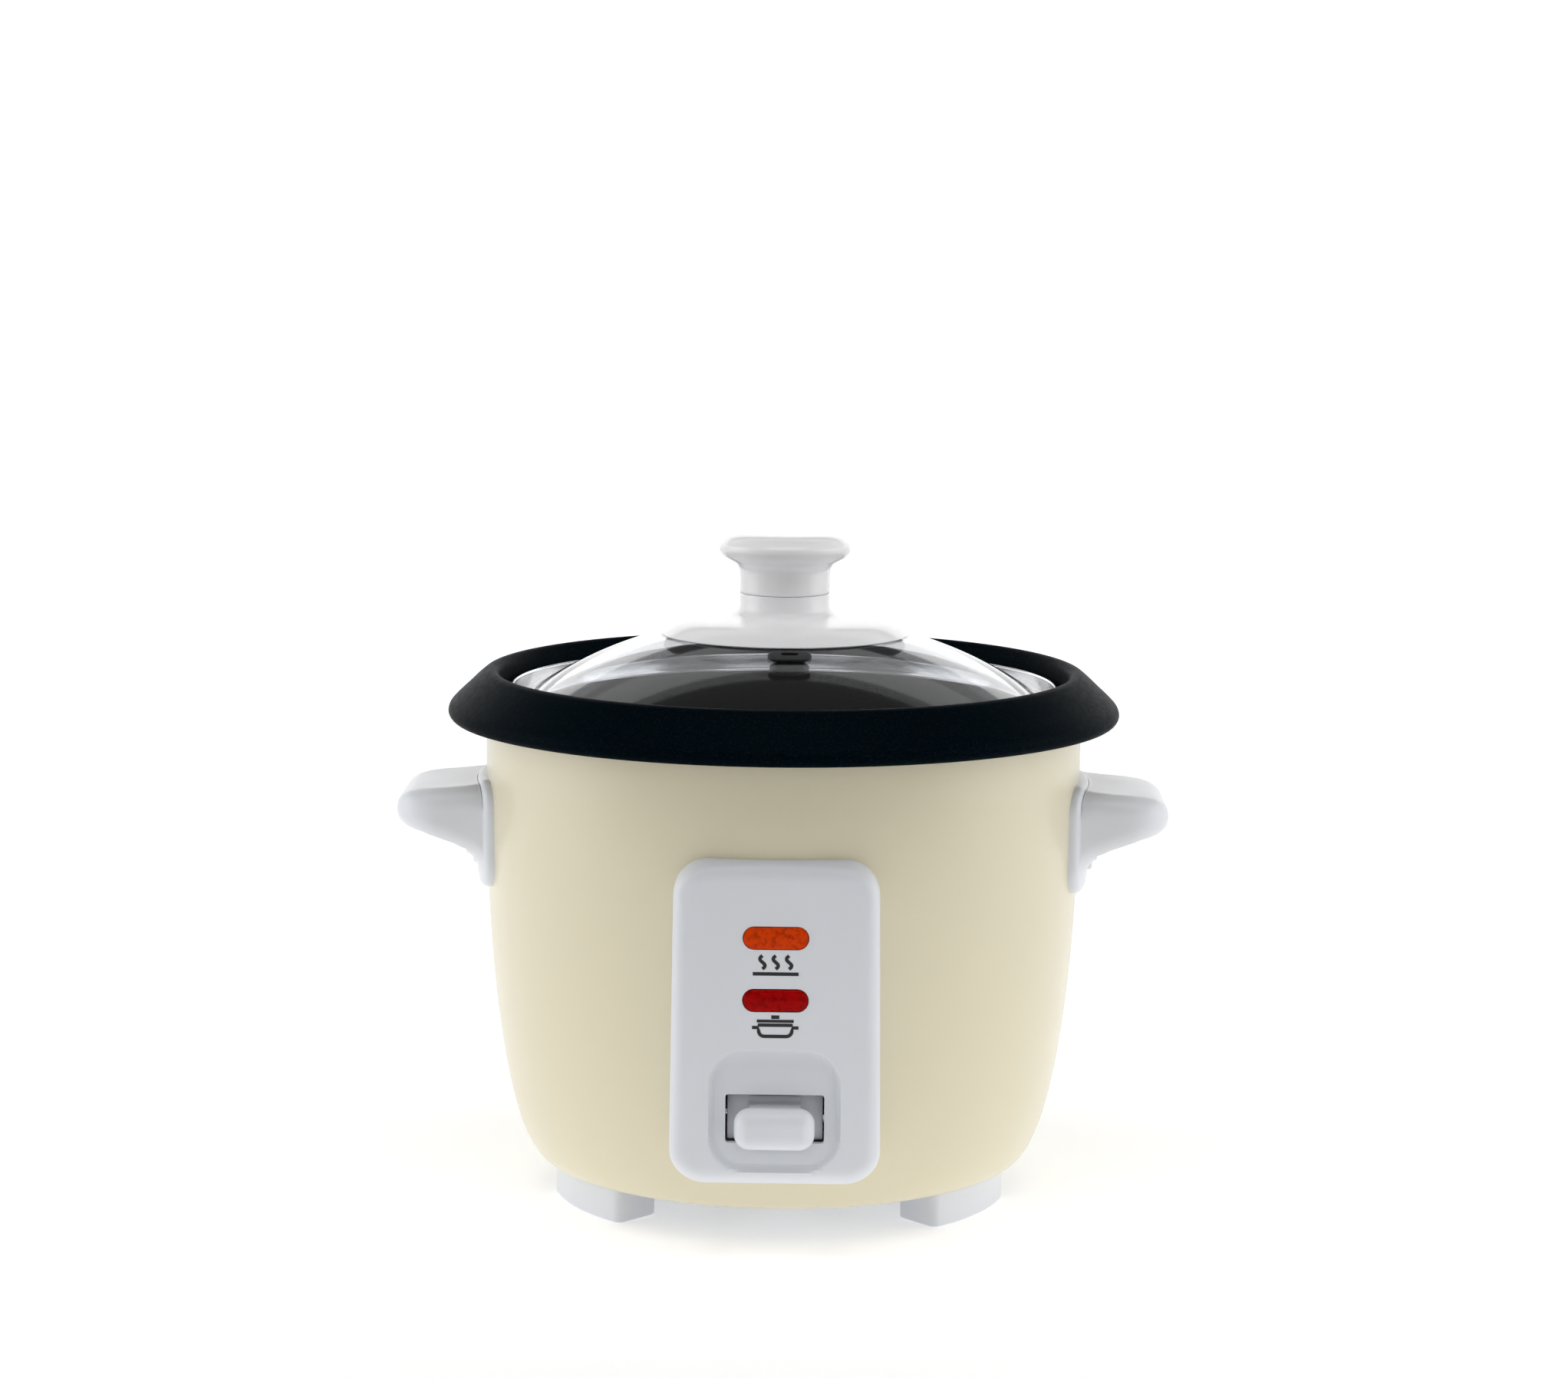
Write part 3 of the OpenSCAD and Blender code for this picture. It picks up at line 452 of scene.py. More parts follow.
def lid_glass():
    s = Shader("lid_glass", (0.84, 0.85, 0.87), 0.0, Transmission_Weight=1.0, IOR=1.04,
               Coat_Weight=0.8, Coat_IOR=1.6, Coat_Roughness=0.07)
    s.rough(s.noise(60, 3), 0.0, 0.02)
    s.bump(s.noise(18, 2), 0.02, 0.03)
    return s.mat


def lens_plastic(name, base, glow):
    s = Shader(name, base, 0.16, Specular_IOR_Level=0.06)
    # Emission in this colour makes the piece glow weakly. On the two panel lenses this is painted glow: both
    # glow at once and no lamp is lit behind them, so it only lifts their colour. On lamp_glass it is the
    # lamp's own glow.
    s.main.inputs["Emission Color"].default_value = (*glow, 1)
    s.main.inputs["Emission Strength"].default_value = 0.12
    s.tint(s.noise(650, 3, 0.6), shade(base, 0.55), shade(base, 1.12), 0.34, 0.55)
    s.bump(s.noise(500, 2), 0.08, 0.05)
    return s.mat


def metal(name, base, roughness, spread=0.08, scale=200, stretch=(1, 1, 1)):
    s = Shader(name, base, roughness, Metallic=1.0)
    s.tint(s.noise(scale * 0.2, 3), shade(base, 0.9), shade(base, 1.08))
    s.rough(s.noise(scale, 4, 0.5, stretch), max(roughness - spread, 0.02), roughness + spread)
    s.bump(s.noise(scale * 3, 3, 0.5, stretch), 0.08, 0.03)
    return s.mat


def matte(name, base, roughness=0.55, grain=600, depth=0.15):
    s = Shader(name, base, roughness, Specular_IOR_Level=0.4)
    s.tint(s.noise(grain * 0.1, 3), shade(base, 0.88), shade(base, 1.1))
    s.rough(s.noise(grain * 0.3, 3), roughness - 0.07, roughness + 0.07)
    s.bump(s.noise(grain, 3), depth, 0.05)
    return s.mat


def turned_aluminium():
    """Cast aluminium with fine turning rings about the axis."""
    base = (0.6, 0.605, 0.61)
    s = Shader("turned_aluminium", base, 0.34, Metallic=1.0)
    s.tint(s.noise(30, 4), shade(base, 0.85), shade(base, 1.1))
    wave = s.add("ShaderNodeTexWave", wave_type="RINGS", rings_direction="Z")
    wave.inputs["Scale"].default_value = 260
    wave.inputs["Distortion"].default_value = 0.4
    s.link(s.coords, wave.inputs["Vector"])
    s.rough(s.noise(120, 3), 0.28, 0.42)
    s.bump(wave.outputs["Fac"], 0.12, 0.05)
    return s.mat


MATERIALS = {
    "body_paint": enamel(),
    "white_plastic": white_plastic(),
    "nonstick": nonstick(),
    "lid_steel": chrome(),
    "lid_glass": lid_glass(),
    # The last colour given to each lens is a painted glow that lifts its colour; no lamp is lit behind
    # either lens.
    "lens_orange": lens_plastic("lens_orange", (0.52, 0.035, 0.001), (0.6, 0.06, 0.0)),
    "lens_red": lens_plastic("lens_red", (0.3, 0.0003, 0.0003), (0.25, 0.0, 0.0)),
    "aluminium": turned_aluminium(),
    "steel": metal("steel", (0.62, 0.62, 0.63), 0.37),
    "base_steel": metal("base_steel", (0.56, 0.57, 0.58), 0.42, 0.1, 60),
    "element_steel": metal("element_steel", (0.3, 0.29, 0.28), 0.45),
    "ferrite": matte("ferrite", (0.05, 0.05, 0.055), 0.5),
    "silicone": matte("silicone", (0.018, 0.02, 0.022), 0.5, 500, 0.1),
    "ivory_plastic": matte("ivory_plastic", (0.72, 0.68, 0.56), 0.5),
    "brown_plastic": matte("brown_plastic", (0.1, 0.04, 0.02), 0.45),
    "dark_plastic": matte("dark_plastic", (0.014, 0.014, 0.015), 0.45, 700, 0.2),
    "mica": matte("mica", (0.5, 0.42, 0.28), 0.5, 200, 0.3),
    "wire_silicone": matte("wire_silicone", (0.4, 0.03, 0.02), 0.5, 500, 0.1),
    "brass": metal("brass", (0.72, 0.5, 0.2), 0.37),
    "lamp_glass": lens_plastic("lamp_glass", (0.85, 0.4, 0.15), (0.9, 0.3, 0.05)),
}
KNOB_MATERIAL = knob_plastic()


def finish_piece(obj, body, slot, *nodes, material=None):
    """Gives a piece its material, from its slot unless one is given, puts it on a body and hides the CAD
    nodes that it stands for.
    """
    obj.data.materials.clear()
    obj.data.materials.append(material or MATERIALS[slot])
    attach(obj, body)
    if nodes:
        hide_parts(*nodes)
    return obj


# ---------- camera ----------


def make_camera():
    """A long lens slightly above the rim, a little to the right of the panel."""
    distance, height, pitch, turn, roll = 1179.0, 312.0, 7.99, 1.0, 0.5
    data = bpy.data.cameras.new("camera")
    data.lens = 94.4
    data.sensor_width = 36
    data.clip_end = 20
    cam = bpy.data.objects.new("camera", data)
    bpy.context.scene.collection.objects.link(cam)
    a = math.radians(turn)
    cam.location = Vector((math.sin(a) * distance, -math.cos(a) * distance, height)) * MM
    facing = Matrix.Rotation(a, 3, "Z") @ Matrix.Rotation(math.radians(90 - pitch), 3, "X")
    facing = facing @ Matrix.Rotation(math.radians(roll), 3, "Z")
    cam.rotation_euler = facing.to_euler()
    bpy.context.scene.camera = cam


# ---------- lid ----------


def knob_cap():
    r = cap_high.x
    top = cap_high.z
    outline = spline([
        (0, top), (6, top - 0.05), (11, top - 0.22), (14.2, top - 0.65), (16.6, top - 1.5),
        (18.2, top - 2.7), (r - 0.12, top - 3.6), (r, top - 4.5), (r - 0.25, top - 5.5),
        (17.9, top - 6.9), (16.2, top - 8.0), (14.6, top - 8.9), (13.6, top - 10), (13.2, top - 11.4),
        (13.12, top - 13.5), (13.1, cap_low.z + 0.5)])
    outline += [(12.85, cap_low.z + 0.02), (0, cap_low.z + 0.02)]
    return finish_piece(lathe("knob_cap_moulding", outline, closed=False), "lid", "white_plastic",
                        "knob_cap", material=KNOB_MATERIAL)


def knob_base():
    r = stem_high.x
    z = stem_low.z
    upper = spline([
        (13.1, 174.2), (13.1, 171.9), (13.35, 170.4), (14.2, 169.2), (15.9, 168.5), (19, 168.12),
        (23, 167.75), (26.9, 167.2), (30, 166.45), (32.6, 165.35), (34.6, 164.15), (r - 0.2, 163.35),
        (r, z + 0.35)])
    outline = [(0, 174.68), (12.85, 174.68)] + upper + [
        (r - 0.3, z + 0.05), (r - 0.9, z + 0.42), (32, 164.05), (26, 165.5), (15, 166.7), (12, 167.6),
        (0, 167.6)]
    obj = lathe("knob_foot_moulding", outline, closed=False)
    return finish_piece(crease(obj, 50), "lid", "white_plastic", "knob_base", material=KNOB_MATERIAL)


def vent_axis():
    """Place of the steam vent on the dome, from the middle of its CAD box."""
    mid = (vent_low + vent_high) / 2
    turn = math.atan2(mid.y, mid.x)
    tilt = math.asin(VENT_AT / DOME_R)
    matrix = Matrix.Rotation(turn, 4, "Z") @ Matrix.Translation(Vector((0, 0, DOME_TOP - DOME_R)) * MM)
    return matrix @ Matrix.Rotation(tilt, 4, "Y") @ Matrix.Translation(Vector((0, 0, DOME_R)) * MM)


def pill(name, length, width, levels):
    """A stadium-shaped turned piece: levels are (inset, height) pairs, longest along Y."""
    rings = []
    for inset, z in levels:
        a, b = width / 2 - inset, length / 2 - inset
        half = half_outline(a, b, a - 0.001, (1, 14, 6))
        rings.append([(x, y, z) for x, y in half + [(-u, v) for u, v in reversed(half[1:-1])]])
    return loft(name, rings)


def glass_dome():
    thick, screw_hole_r = 3.0, 3.6
    edge_r, edge_z = glass_high.x, glass_low.z
    centre_z = DOME_TOP - DOME_R
    edge_turn = math.degrees(math.asin((edge_r - 0.5) / DOME_R))
    outer = [(DOME_R * math.sin(math.radians(a)), centre_z + DOME_R * math.cos(math.radians(a)))
             for a in [edge_turn * i / 60 for i in range(61)]]
    inner_r = DOME_R - thick
    in_edge = math.degrees(math.acos((edge_z + 0.3 - centre_z) / inner_r))
    inner = [(inner_r * math.sin(math.radians(a)), centre_z + inner_r * math.cos(math.radians(a)))
             for a in [in_edge * (1 - i / 60) for i in range(61)]]
    outline = outer + [(edge_r, outer[-1][1] - 0.5), (edge_r, edge_z + 0.4), (edge_r - 0.4, edge_z)]
    outline += [(inner[0][0] + 0.5, edge_z)] + inner
    obj = lathe("glass_dome", outline, 256, closed=False)
    place = vent_axis()
    hole = pill("vent_hole", 9.0, 4.2, ((0, -12), (0, 8)))
    hole.data.transform(place)
    middle = rod("knob_hole", (0, 0, 150), (0, 0, 180), screw_hole_r)
    carve(obj, hole, middle)
    return finish_piece(crease(obj, 40), "lid", "lid_glass", "lid_glass")


def steel_band():
    r, top, low = band_high.x, band_high.z, band_low.z
    outline = [(r - 7, low + 0.8), (r - 7, low + 0.15), (r - 6.8, low)]
    outline += arc(r - 0.9, low + 0.9, 0.9, -90, 0, 6)
    outline += arc(r - 0.65, top - 0.65, 0.65, 0, 180, 12)
    outline += [(r - 1.3, low + 1.1), (r - 1.6, low + 0.8)]
    return finish_piece(crease(lathe("lid_steel_band", outline, 320), 50), "lid", "lid_steel", "lid_band")


def eyelet():
    collar = [(0, -4.5), (0, -3.2)]
    stem = [(0.9, -3.1), (0.9, 0.0)]
    button = [(0.1, 0.05), (0, 0.2), (0, 0.45)]
    button += [(0.9 - 0.9 * math.cos(math.radians(t)), 0.45 + 0.75 * math.sin(math.radians(t)))
               for t in range(15, 91, 15)]
    obj = join("steam_eyelet", pill("button", 12.4, 5.6, button), pill("collar", 11.0, 5.6, collar),
               pill("stem", 10.6, 5.8, stem))
    slot = pill("slot", 5.0, 1.6, ((0, -10), (0, 5)))
    carve(obj, slot)
    obj.data.transform(vent_axis())
    return finish_piece(crease(obj, 40), "lid", "silicone", "vent_eyelet")


# ---------- pan ----------


def pan():
    r, z0 = RIM_R, PAN_Z0
    wall = 78.0
    floor = arc(wall - 9, z0 + 9, 9, -90, 0, 14)
    under = spline([
        (wall, 138.4), (wall + 0.5, 139.9), (81.7, 140.6), (82.2, 141.8), (82.3, 147), (82.75, 149.4),
        (83.4, 150.8), (84.6, 151.35), (86.5, 150.5), (90.4, 146.8), (92.3, 145), (94, 143.3),
        (95.2, 141.8), (95.5, 140.8), (95.1, 139.95), (94.35, 139.4)], 4)
    lip = arc(94.5, 139.0, 0.42, 110, 270, 6)
    over = spline([
        (94.7, 138.58), (95.7, 138.8), (96.45, 139.5), (r, 140.5), (96.7, 141.7), (96.15, 142.8),
        (94.9, 144.2), (93.2, 145.85), (91.3, 147.6), (88.9, 149.9), (87.3, 151.3), (85.9, 152.3),
        (84.2, 152.6), (82.8, 151.8), (82.05, 150.2), (81.4, 147.4), (81.05, 145), (81, 142.1)], 5)
    ledge = [(80.7, 141.55), (80.2, 141.4), (78.2, 141.4), (77.4, 141.2), (76.95, 140.7), (76.8, 140)]
    inner = arc(wall - 9, z0 + 9, 7.8, 0, -90, 14)
    outline = [(0, z0)] + floor + under + lip + over + ledge + inner + [(0, z0 + 1.2)]
    obj = lathe("pan_nonstick", outline, 320, closed=False)
    return finish_piece(crease(obj, 60), "pan", "nonstick", *PAN_NODES)


# ---------- body ----------


def shell():
    low, top, thick = BODY_Z0, BODY_Z1, 1.0
    heights = [low + 0.35, low + 0.8, low + 1.4, low + 2.2, low + 3.2, low + 4.6, low + 6.4]
    heights += [18.5 + 2 * i for i in range(50)]
    heights += [120, 130, 138, 144]
    outer = [(body_radius(z), z) for z in heights]
    hem = arc(BODY_R - 0.75, top - 0.75, 0.75, 0, 200, 10)
    inner = [(r - thick, z) for r, z in reversed(outer[2:])]
    outline = [(66.5, low), (67.4, low)] + outer + hem + inner + [(67.6, low + thick), (66.5, low + thick)]
    obj = lathe("enamel_shell", outline, 288)
    inlet_low, inlet_high = span("power_inlet")
    front = slab("cut_front", 17, 33.5, 2, -100, -60, 66.5)
    rear = slab("cut_rear", 16, 12, 1, 60, 100, (inlet_low.z + inlet_high.z) / 2)
    carve(obj, front, rear)
    return finish_piece(crease(obj, 50), "root", "body_paint", "body_shell")


PANEL_HALF_W = 27.9
PANEL_FLARE = 1.0
PANEL_MID_Z = (panel_low.z + panel_high.z) / 2
PANEL_HALF_H = (panel_high.z - panel_low.z) / 2
PANEL_CORNER = 9.8
WINDOW = (13.47, 6.65, 0.8, 40.75)
RECESS = (17.55, 16.5, 9.5, 43.5)
LENS_W, LENS_H, LENS_PLAY = 17.8, 6.2, 0.12
WARM_Z, COOK_Z = 91.3, 74.15
SHROUD_HALF_W = 13.1


def recess_depth(x, z):
    """Depth of the hollow round the key: deep at its top, running out towards its bottom."""
    a, b, c, mid = RECESS
    d = inside(x, z - mid, a, b, c)
    depth = lerp(1.1, 3.0, smooth(27, 40, z))
    return depth * smooth(-0.45, 0.95, d)


def panel_place(u, v, level):
    """Front of the panel: soft edges that run back to the body's surface."""
    w = 1 + PANEL_FLARE / PANEL_HALF_W * (PANEL_HALF_H - v) / (2 * PANEL_HALF_H)
    x, z = u * w, PANEL_MID_Z + v
    d = max(inside(u, v, PANEL_HALF_W, PANEL_HALF_H, PANEL_CORNER), 0)
    end = smooth(PANEL_HALF_H - 10, PANEL_HALF_H, abs(v))
    r = lerp(4.2, 6.3, end)
    back = -math.sqrt(max(body_radius(z) ** 2 - x * x, 0)) + 0.3
    y = PANEL_Y + rounded_drop(d, r) / r * min(r, back - PANEL_Y - 0.9)
    if level >= 0:
        return x, lerp(y, back, (0.15, 0.5, 1.0)[level]), z
    return x, y + recess_depth(x, z), z


def control_panel():
    edge = [6.3 * (1 - math.cos(math.radians(9 * i))) for i in range(11)]
    steps = int((PANEL_HALF_W - 6.3) / 0.45)
    deep = [lerp(6.3, PANEL_HALF_W - 0.12, (i + 1) / steps) for i in range(steps)]
    obj = pad("panel_moulding", PANEL_HALF_W, PANEL_HALF_H, PANEL_CORNER, panel_place, edge + deep,
              skirts=(0, 1, 2), counts=(40, 14, 170))
    thicken(obj, 2.0)
    a, b, c, mid = WINDOW
    cutters = [slab("window", a, b, c, -110, -75, mid)]
    for z in (WARM_Z, COOK_Z):
        a, b = LENS_W / 2 + LENS_PLAY, LENS_H / 2 + LENS_PLAY
        cutters.append(slab("lens_hole", a, b, b - 0.02, -110, -80, z))
    carve(obj, *cutters)
    return finish_piece(crease(obj, 40), "root", "white_plastic", "control_panel")


def lens(name, z, slot, node):
    a, b = LENS_W / 2, LENS_H / 2

    def place(u, v, level):
        d = max(inside(u, v, a, b, b - 0.01), 0)
        y = PANEL_Y - 0.35 + rounded_drop(d, 0.9) - 0.28 * smooth(0, b, d)
        return u, (y if level < 0 else PANEL_Y + (0.5, 2.6)[level]), z + v

    insets = [0.9 * (1 - math.cos(math.radians(15 * i))) for i in range(7)]
    insets += [lerp(0.9, b - 0.05, (i + 1) / 8) for i in range(8)]
    obj = pad(name, a, b, b - 0.01, place, insets, skirts=(0, 1), counts=(14, 14, 2), close_back=True)
    return finish_piece(crease(obj, 50), "root", slot, node)


def cook_key():
    low, high = key_low, key_high
    a, mid_z, b = min(high.x, 10.95), 38.95, 5.65
    front = low.y

    def place(v, u, level):
        d = max(inside(u, v, a, b, 4.2), 0)
        y = front + rounded_drop(d, 4.6) * 0.9 + 0.35 * (u / a) ** 2
        return u, (y if level < 0 else front + (4.5, 5.2)[level]), mid_z + v

    insets = [4.6 * (1 - math.cos(math.radians(7.5 * i))) for i in range(13)]
    insets += [lerp(4.6, b - 0.1, (i + 1) / 5) for i in range(5)]
    knob = pad("key_pad", b, a, 4.2, place, insets, skirts=(0, 1), counts=(8, 10, 30), close_back=True)
    turns = [math.radians(lerp(2.0, 24.4, i / 14)) for i in range(15)]
    outer = [(-46 - 38.8 * math.cos(t), 33 + 38.8 * math.sin(t)) for t in turns]
    inner = [(-46 - 37.8 * math.cos(t), 33 + 37.8 * math.sin(t)) for t in reversed(turns)]
    shroud = bevel(prism("key_shroud", outer + inner, -SHROUD_HALF_W, SHROUD_HALF_W), 0.3, 2, 50)
    top = spline([(-83.6, 46.2), (-84.6, 45.0), (-86.2, 44.2), (-88.6, 43.8), (-91.8, 43.6)], 6)
    under = spline([(-91.8, 39.8), (-88.6, 39.7), (-86.2, 39.3), (-84.8, 38.2), (-84.4, 36.6)], 6)
    neck = bevel(prism("key_neck", top + under, -7.0, 7.0), 0.45, 3, 50)
    obj = join("key_moulding", knob, shroud, neck)
    return finish_piece(crease(obj, 50), "lever", "white_plastic", "cook_key")


def stroke(name, points, width, closed=False):
    """A thin printed line on the panel's face, through (x, z) points."""
    n = len(points)
    sides = []
    for i, (x, z) in enumerate(points):
        if closed:
            px, pz = points[i - 1]
            qx, qz = points[(i + 1) % n]
        else:
            px, pz = points[max(i - 1, 0)]
            qx, qz = points[min(i + 1, n - 1)]
        tx, tz = qx - px, qz - pz
        size = math.hypot(tx, tz) or 1
        nx, nz = -tz / size * width / 2, tx / size * width / 2
        sides.append(((x + nx, z + nz), (x - nx, z - nz)))
    y0, y1 = PANEL_Y - 0.06, PANEL_Y + 0.1
    verts = []
    for (ax, az), (bx, bz) in sides:
        verts += [(ax, y0, az), (bx, y0, bz), (bx, y1, bz), (ax, y1, az)]
    faces = []
    for i in range(n if closed else n - 1):
        j = (i + 1) % n
        faces += [[i * 4 + k, i * 4 + (k + 1) % 4, j * 4 + (k + 1) % 4, j * 4 + k] for k in range(4)]
    if not closed:
        faces += [[0, 1, 2, 3], [(n - 1) * 4 + k for k in range(4)]]
    return new_object(name, verts, faces, soft=False)


def warm_mark():
    """Three rising steam lines over a short bar."""
    z0, height = 81.5, 3.7
    lines = []
    for x in (-3.6, 0, 3.6):
        pts = [(x + 0.7 * math.sin(TAU * i / 16), z0 + 1.35 + height * i / 16) for i in range(17)]
        lines.append(stroke("steam", pts, 0.95))
    lines.append(stroke("bar", [(-6.2, z0), (6.2, z0)], 0.95))
    return finish_piece(join("warm_pictogram", *lines), "root", "dark_plastic")


def cook_mark():
    """A small pot with its lid and two side grips."""
    z0 = 64.3
    bowl = [(-4.6, z0 + 3.1)] + arc(-3.0, z0 + 1.5, 1.5, 180, 270, 6) + arc(3.0, z0 + 1.5, 1.5, -90, 0, 6)
    bowl += [(4.6, z0 + 3.1)]
    parts = [
        stroke("bowl", bowl, 0.95, closed=True),
        stroke("lid", [(-5.0, z0 + 4.2), (5.0, z0 + 4.2)], 0.8),
        stroke("knob", [(-1.1, z0 + 5.3), (1.1, z0 + 5.3)], 1.0),
        stroke("grip", [(-6.3, z0 + 2.4), (-4.8, z0 + 2.4)], 0.9),
        stroke("grip", [(4.8, z0 + 2.4), (6.3, z0 + 2.4)], 0.9),
    ]
    return finish_piece(join("cook_pictogram", *parts), "root", "dark_plastic")


# ---------- handles ----------


GRIP_TOP = [(84, 121.1), (88.6, 120.75), (90, 120.3), (93, 119.85), (100, 119.3), (104, 118.85),
            (107, 118.2), (109.2, 116.9), (110.5, 115.2), (111, 113.3)]
GRIP_LOW = [(84, 92.6), (88.55, 93.6), (88.75, 96), (89.3, 98.6), (90.6, 100.6), (93.5, 102.4), (97, 103.6),
            (101, 105), (105, 106.6), (108, 108.0), (110.2, 109.5), (111, 111.4)]


HANDLE_SCREW_Z = (98, 115)


def along(points, x):
    """Height on a profile at a distance from the axis."""
    if x <= points[0][0]:
        return points[0][1]
    for (x0, z0), (x1, z1) in zip(points, points[1:]):
        if x <= x1:
            return lerp(z0, z1, (x - x0) / (x1 - x0))
    return points[-1][1]


def grip_half_width(x, inset=0.0):
    """Half of the grip's width: flared at the body, rounded in plan at the tip."""
    corner, tip = 12.0 - inset, REACH - inset
    w = 23.3 + 2.2 * math.exp(-(x - 87.4) / 1.6) - inset
    reach = clamp((x - (tip - corner)) / corner)
    return w - corner + corner * math.sqrt(max(1 - reach * reach, 0))


def section(x, half_w, low, top, corner, wrap, lift, counts):
    """A closed ring: a rounded rectangle in YZ, bent round the body by the share wrap."""
    mid, half_h = (low + top) / 2, (top - low) / 2
    half = half_outline(half_w, half_h, min(corner, half_h - 0.05, half_w - 0.05), counts)
    ring = []
    for y, v in half + [(-u, v) for u, v in reversed(half[1:-1])]:
        z = mid + v
        on_body = math.sqrt(body_radius(z) ** 2 - y * y) + lift
        ring.append((lerp(x, on_body, wrap), y, z))
    return ring


def handle_skin():
    """Outside of a handle: a soft-edged base plate that runs out into the grip."""
    counts = (16, 12, 10)
    rings = []
    for inset in (15.3, 12, 8, 4):
        rings.append(section(0, 26 - inset, 91 + inset, 122 - inset, 8, 1, -0.25, counts))
    for lift, inset in ((-0.25, 0), (0.9, 0), (1.6, 0.12), (2.15, 0.42), (2.55, 0.9), (2.75, 1.5)):
        rings.append(section(0, 26 - inset, 91 + inset, 122 - inset, 8, 1, lift, counts))
    for x, wrap in ((88.6, 0.97), (88.8, 0.85), (89.1, 0.66), (89.6, 0.45), (90.4, 0.25), (91.4, 0.1)):
        fade = smooth(0, 1, 1 - wrap)
        rings.append(section(x, grip_half_width(x), along(GRIP_LOW, x), along(GRIP_TOP, x),
                             lerp(7.5, 6, fade), wrap, 2.85, counts))
    stops = [92.6, 94, 96, 98, 99] + [99 + 12 * math.sin(math.radians(t)) for t in range(5, 86, 5)]
    stops += [REACH - 0.02, REACH - 0.002]
    for x in stops:
        low, top = along(GRIP_LOW, x), along(GRIP_TOP, x)
        rings.append(section(x, grip_half_width(x), low, top, min(6, 0.46 * (top - low)), 0, 0, counts))
    return loft("handle_skin", rings)


def handle_hollow():
    """The space under the grip."""
    wall = 2.3
    rings = []
    stops = [90.2, 92, 95, 98, 99] + [99 + 9.65 * math.sin(math.radians(t)) for t in range(6, 90, 7)]
    for x in stops:
        half_w = grip_half_width(x, wall)
        top = along(GRIP_TOP, x + wall * 0.6) - wall
        low = 84.0
        half = half_outline(half_w, (top - low) / 2, 4.5, (6, 8, 4))
        mid = (low + top) / 2
        rings.append([(x, y, mid + v) for y, v in half + [(-u, v) for u, v in reversed(half[1:-1])]])
    return loft("handle_hollow", rings)


def screw_boss(z):
    """A low round boss over the tip of a handle screw."""
    height, radius = 4.1, 3.4
    boss = rod("screw_boss", (BODY_R + 1, 0, z), (BODY_R + height, 0, z), radius, 40)
    return bevel(boss, 0.7, 3, 50)


def handles():
    right = carve(handle_skin(), handle_hollow())
    carve(right, *[screw_boss(z) for z in HANDLE_SCREW_Z], operation="UNION")
    right.name = "handle_right_moulding"
    mesh = right.data.copy()
    mesh.transform(Matrix.Scale(-1, 4, (1, 0, 0)))
    mesh.flip_normals()
    left = bpy.data.objects.new("handle_left_moulding", mesh)
    bpy.context.scene.collection.objects.link(left)
    finish_piece(crease(right, 45), "root", "white_plastic", "handle_right")
    finish_piece(crease(left, 45), "root", "white_plastic", "handle_left")


# ---------- feet ----------


def foot(name, turn, node):
    """An arc-shaped block with rounded corners and a screw pocket below."""
    in_r, out_r, span_deg, top = 51.0, 66.5, 36.0, BODY_Z0
    round_r = 2.4

    def ring(inset, z):
        a, b, r = in_r + inset, out_r - inset, max(round_r - inset * 0.6, 0.6)
        half = math.radians(span_deg / 2)
        pts = []
        for rad, sign in ((b, 1), (b, -1), (a, -1), (a, 1)):
            turn_a = sign * (half - inset / rad)
            centre_r = rad - r if rad == b else rad + r
            centre_a = sign * (abs(turn_a) - math.asin(r / centre_r))
            cx, cy = centre_r * math.cos(centre_a), centre_r * math.sin(centre_a)
            if rad == b:
                start, end = (90, 0) if sign > 0 else (0, -90)
            else:
                start, end = (-90, -180) if sign < 0 else (180, 90)
            spin = math.degrees(centre_a)
            pts += [(x, y, z) for x, y in arc(cx, cy, r, start + spin, end + spin, 6)]
            if rad == b and sign > 0:
                pts += [(b * math.cos(t), b * math.sin(t), z)
                        for t in [centre_a * (1 - 2 * i / 12) for i in range(1, 12)]]
            if rad == a and sign < 0:
                pts += [(a * math.cos(t), a * math.sin(t), z)
                        for t in [centre_a * (1 - 2 * i / 12) for i in range(1, 12)]]
        return pts

    levels = [(0.9 - 0.9 * math.sin(math.radians(18 * i)), 0.9 - 0.9 * math.cos(math.radians(18 * i)))
              for i in range(6)]
    obj = loft(name, [ring(inset, z) for inset, z in levels] + [ring(0, top * 0.5), ring(-0.15, top - 0.02)])
    carve(obj, rod("pocket", (59, 0, -1), (59, 0, 7), 4, 48))
    obj.data.transform(Matrix.Rotation(math.radians(turn), 4, "Z"))
    return finish_piece(crease(obj, 45), "root", "white_plastic", node)


# ---------- room ----------


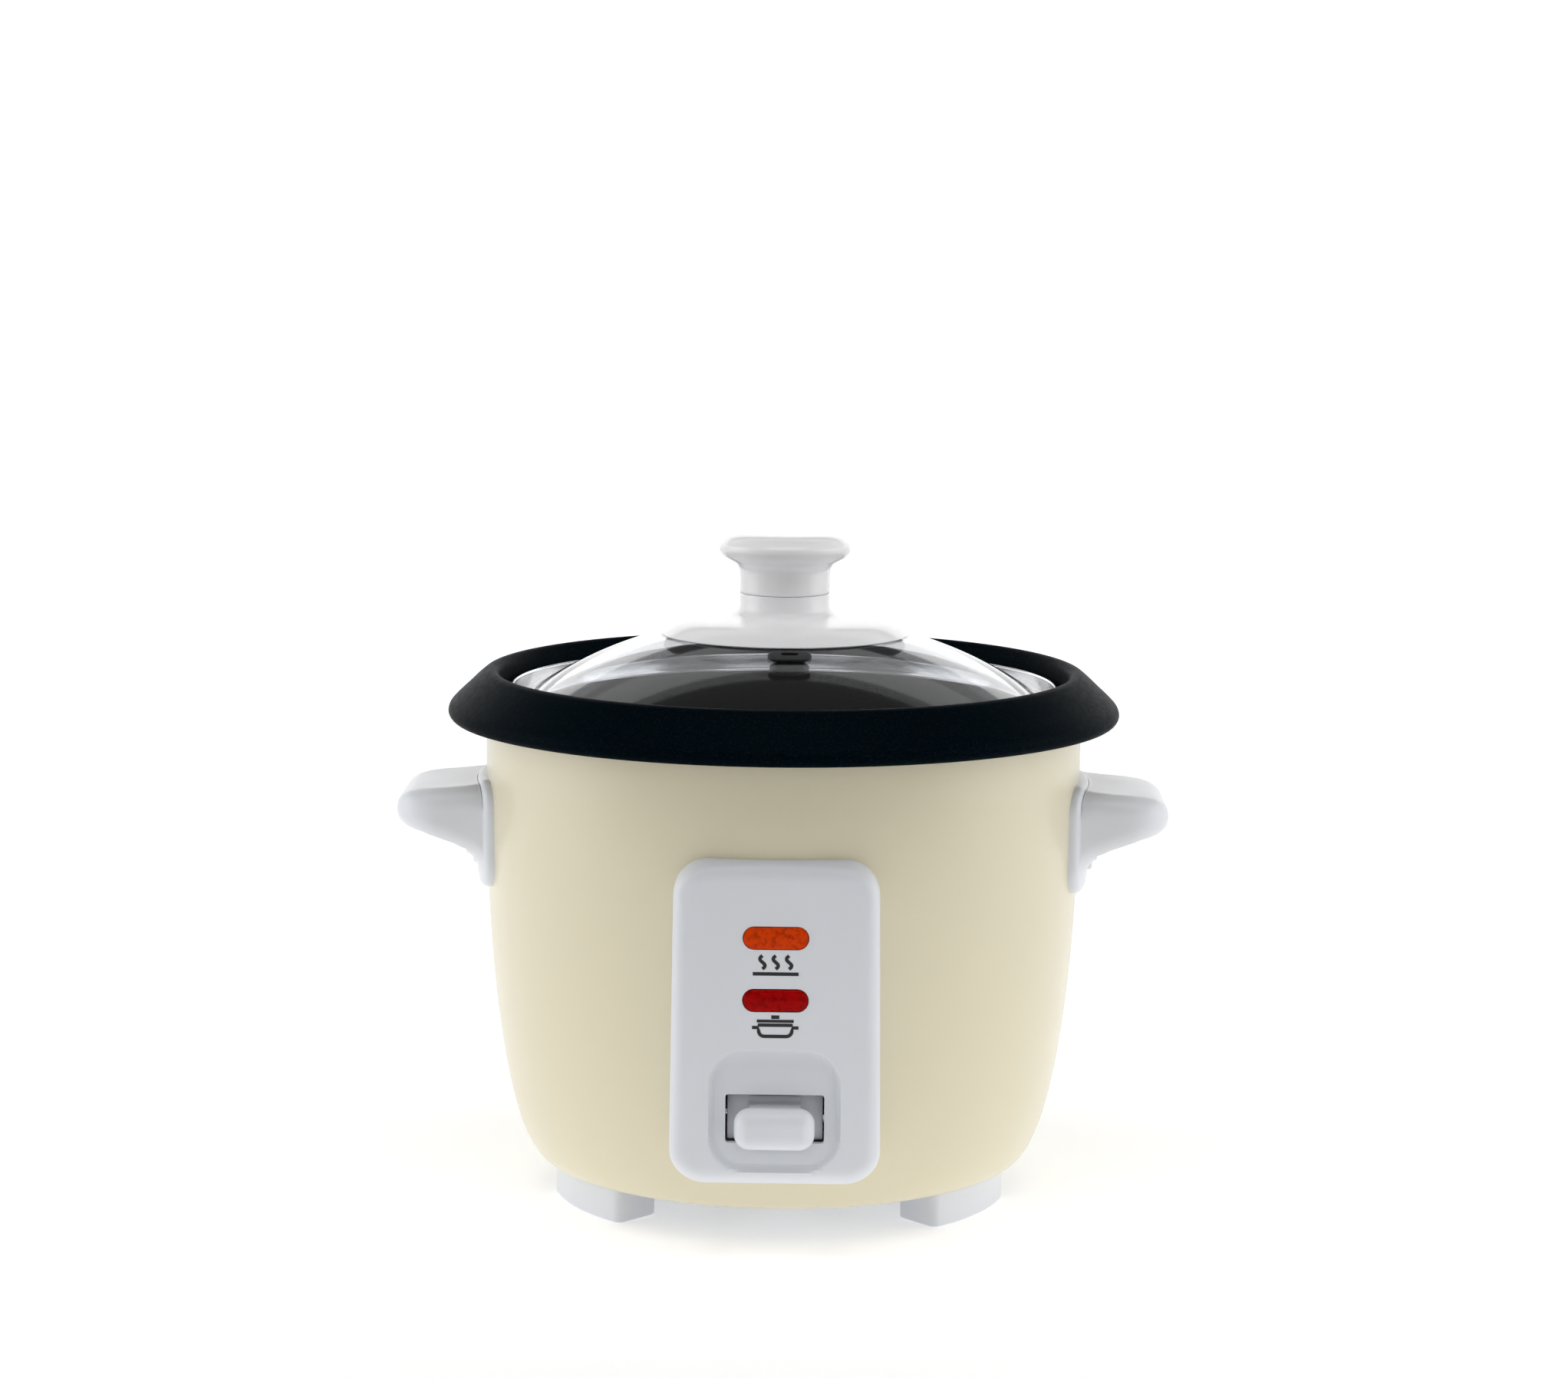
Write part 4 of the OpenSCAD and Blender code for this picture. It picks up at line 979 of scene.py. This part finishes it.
def studio():
    """A round white sweep: flat floor, wide bend, upright wall. It glows a little towards the back."""
    flat, bend, wall_top, steps = 1.35, 0.8, 1.2, 96
    profile = [(0.0, 0.0), (0.4, 0.0), (flat, 0.0)]
    profile += [(flat + bend * math.sin(math.radians(a)), bend - bend * math.cos(math.radians(a)))
                for a in range(6, 91, 6)]
    profile += [(flat + bend, wall_top)]
    sweep = lathe("sweep", [(r / MM, z / MM) for r, z in profile], steps, closed=False)
    if sweep.data.polygons[0].normal.z < 0:
        sweep.data.flip_normals()
    s = Shader("paper", (0.93, 0.93, 0.93), 0.9, Specular_IOR_Level=0.1)
    s.tint(s.noise(3, 2), (0.925, 0.925, 0.925), (0.935, 0.935, 0.935))
    s.main.inputs["Emission Color"].default_value = (1, 1, 1, 1)
    split = s.add("ShaderNodeSeparateXYZ")
    s.link(s.coords, split.inputs["Vector"])
    glow = s.add("ShaderNodeMath", operation="ADD")
    s.link(s.ranged(split.outputs["Y"], -0.6, -0.1, 0.0, 0.38), glow.inputs[0])
    s.link(s.ranged(split.outputs["Y"], 0.9, 1.9, 0.0, 0.42), glow.inputs[1])
    s.link(glow.outputs["Value"], s.main.inputs["Emission Strength"])
    sweep.data.materials.append(s.mat)


def soft_box(name, place, target, size, watts, colour=(1, 1, 1)):
    data = bpy.data.lights.new(name, "AREA")
    data.shape = "RECTANGLE"
    data.size, data.size_y = size
    data.energy = watts
    data.color = colour
    lamp = bpy.data.objects.new(name, data)
    lamp.location = place
    lamp.visible_camera = False
    lamp.rotation_euler = (Vector(target) - Vector(place)).to_track_quat("-Z", "Y").to_euler()
    bpy.context.scene.collection.objects.link(lamp)


def lights():
    middle = (0, 0, 0.09)
    soft_box("left_box", (-1.2, -0.05, 0.45), middle, (0.9, 1.3), 5.3)
    soft_box("right_box", (1.2, -0.05, 0.45), middle, (0.9, 1.3), 5.1)
    soft_box("top_box", (0, -0.45, 1.35), middle, (1.1, 0.8), 5.9)
    soft_box("back_box", (0, 1.25, 1.3), (0, 0, 0.15), (2.2, 0.55), 2.4)
    world = bpy.data.worlds.new("studio")
    bpy.context.scene.world = world
    world.use_nodes = True
    world.node_tree.nodes["Background"].inputs["Color"].default_value = (1, 1, 1, 1)
    world.node_tree.nodes["Background"].inputs["Strength"].default_value = 0.12
    bpy.context.scene.view_settings.view_transform = "Standard"


# ---------- put it together ----------

make_camera()
studio()
lights()
knob_cap()
knob_base()
glass_dome()
steel_band()
eyelet()
pan()
shell()
control_panel()
lens("warm_lens_piece", WARM_Z, "lens_orange", "warm_lens")
lens("cook_lens_piece", COOK_Z, "lens_red", "cook_lens")
cook_key()
warm_mark()
cook_mark()
handles()
foot("foot_right_block", -30, "foot_right")
foot("foot_left_block", -150, "foot_left")
foot("foot_rear_block", 90, "foot_rear")

for part in frame["record"]["subparts"]:
    node = frame["nodes"][part["node"]]
    node.data.materials.clear()
    node.data.materials.append(MATERIALS[part["material_slot"]])
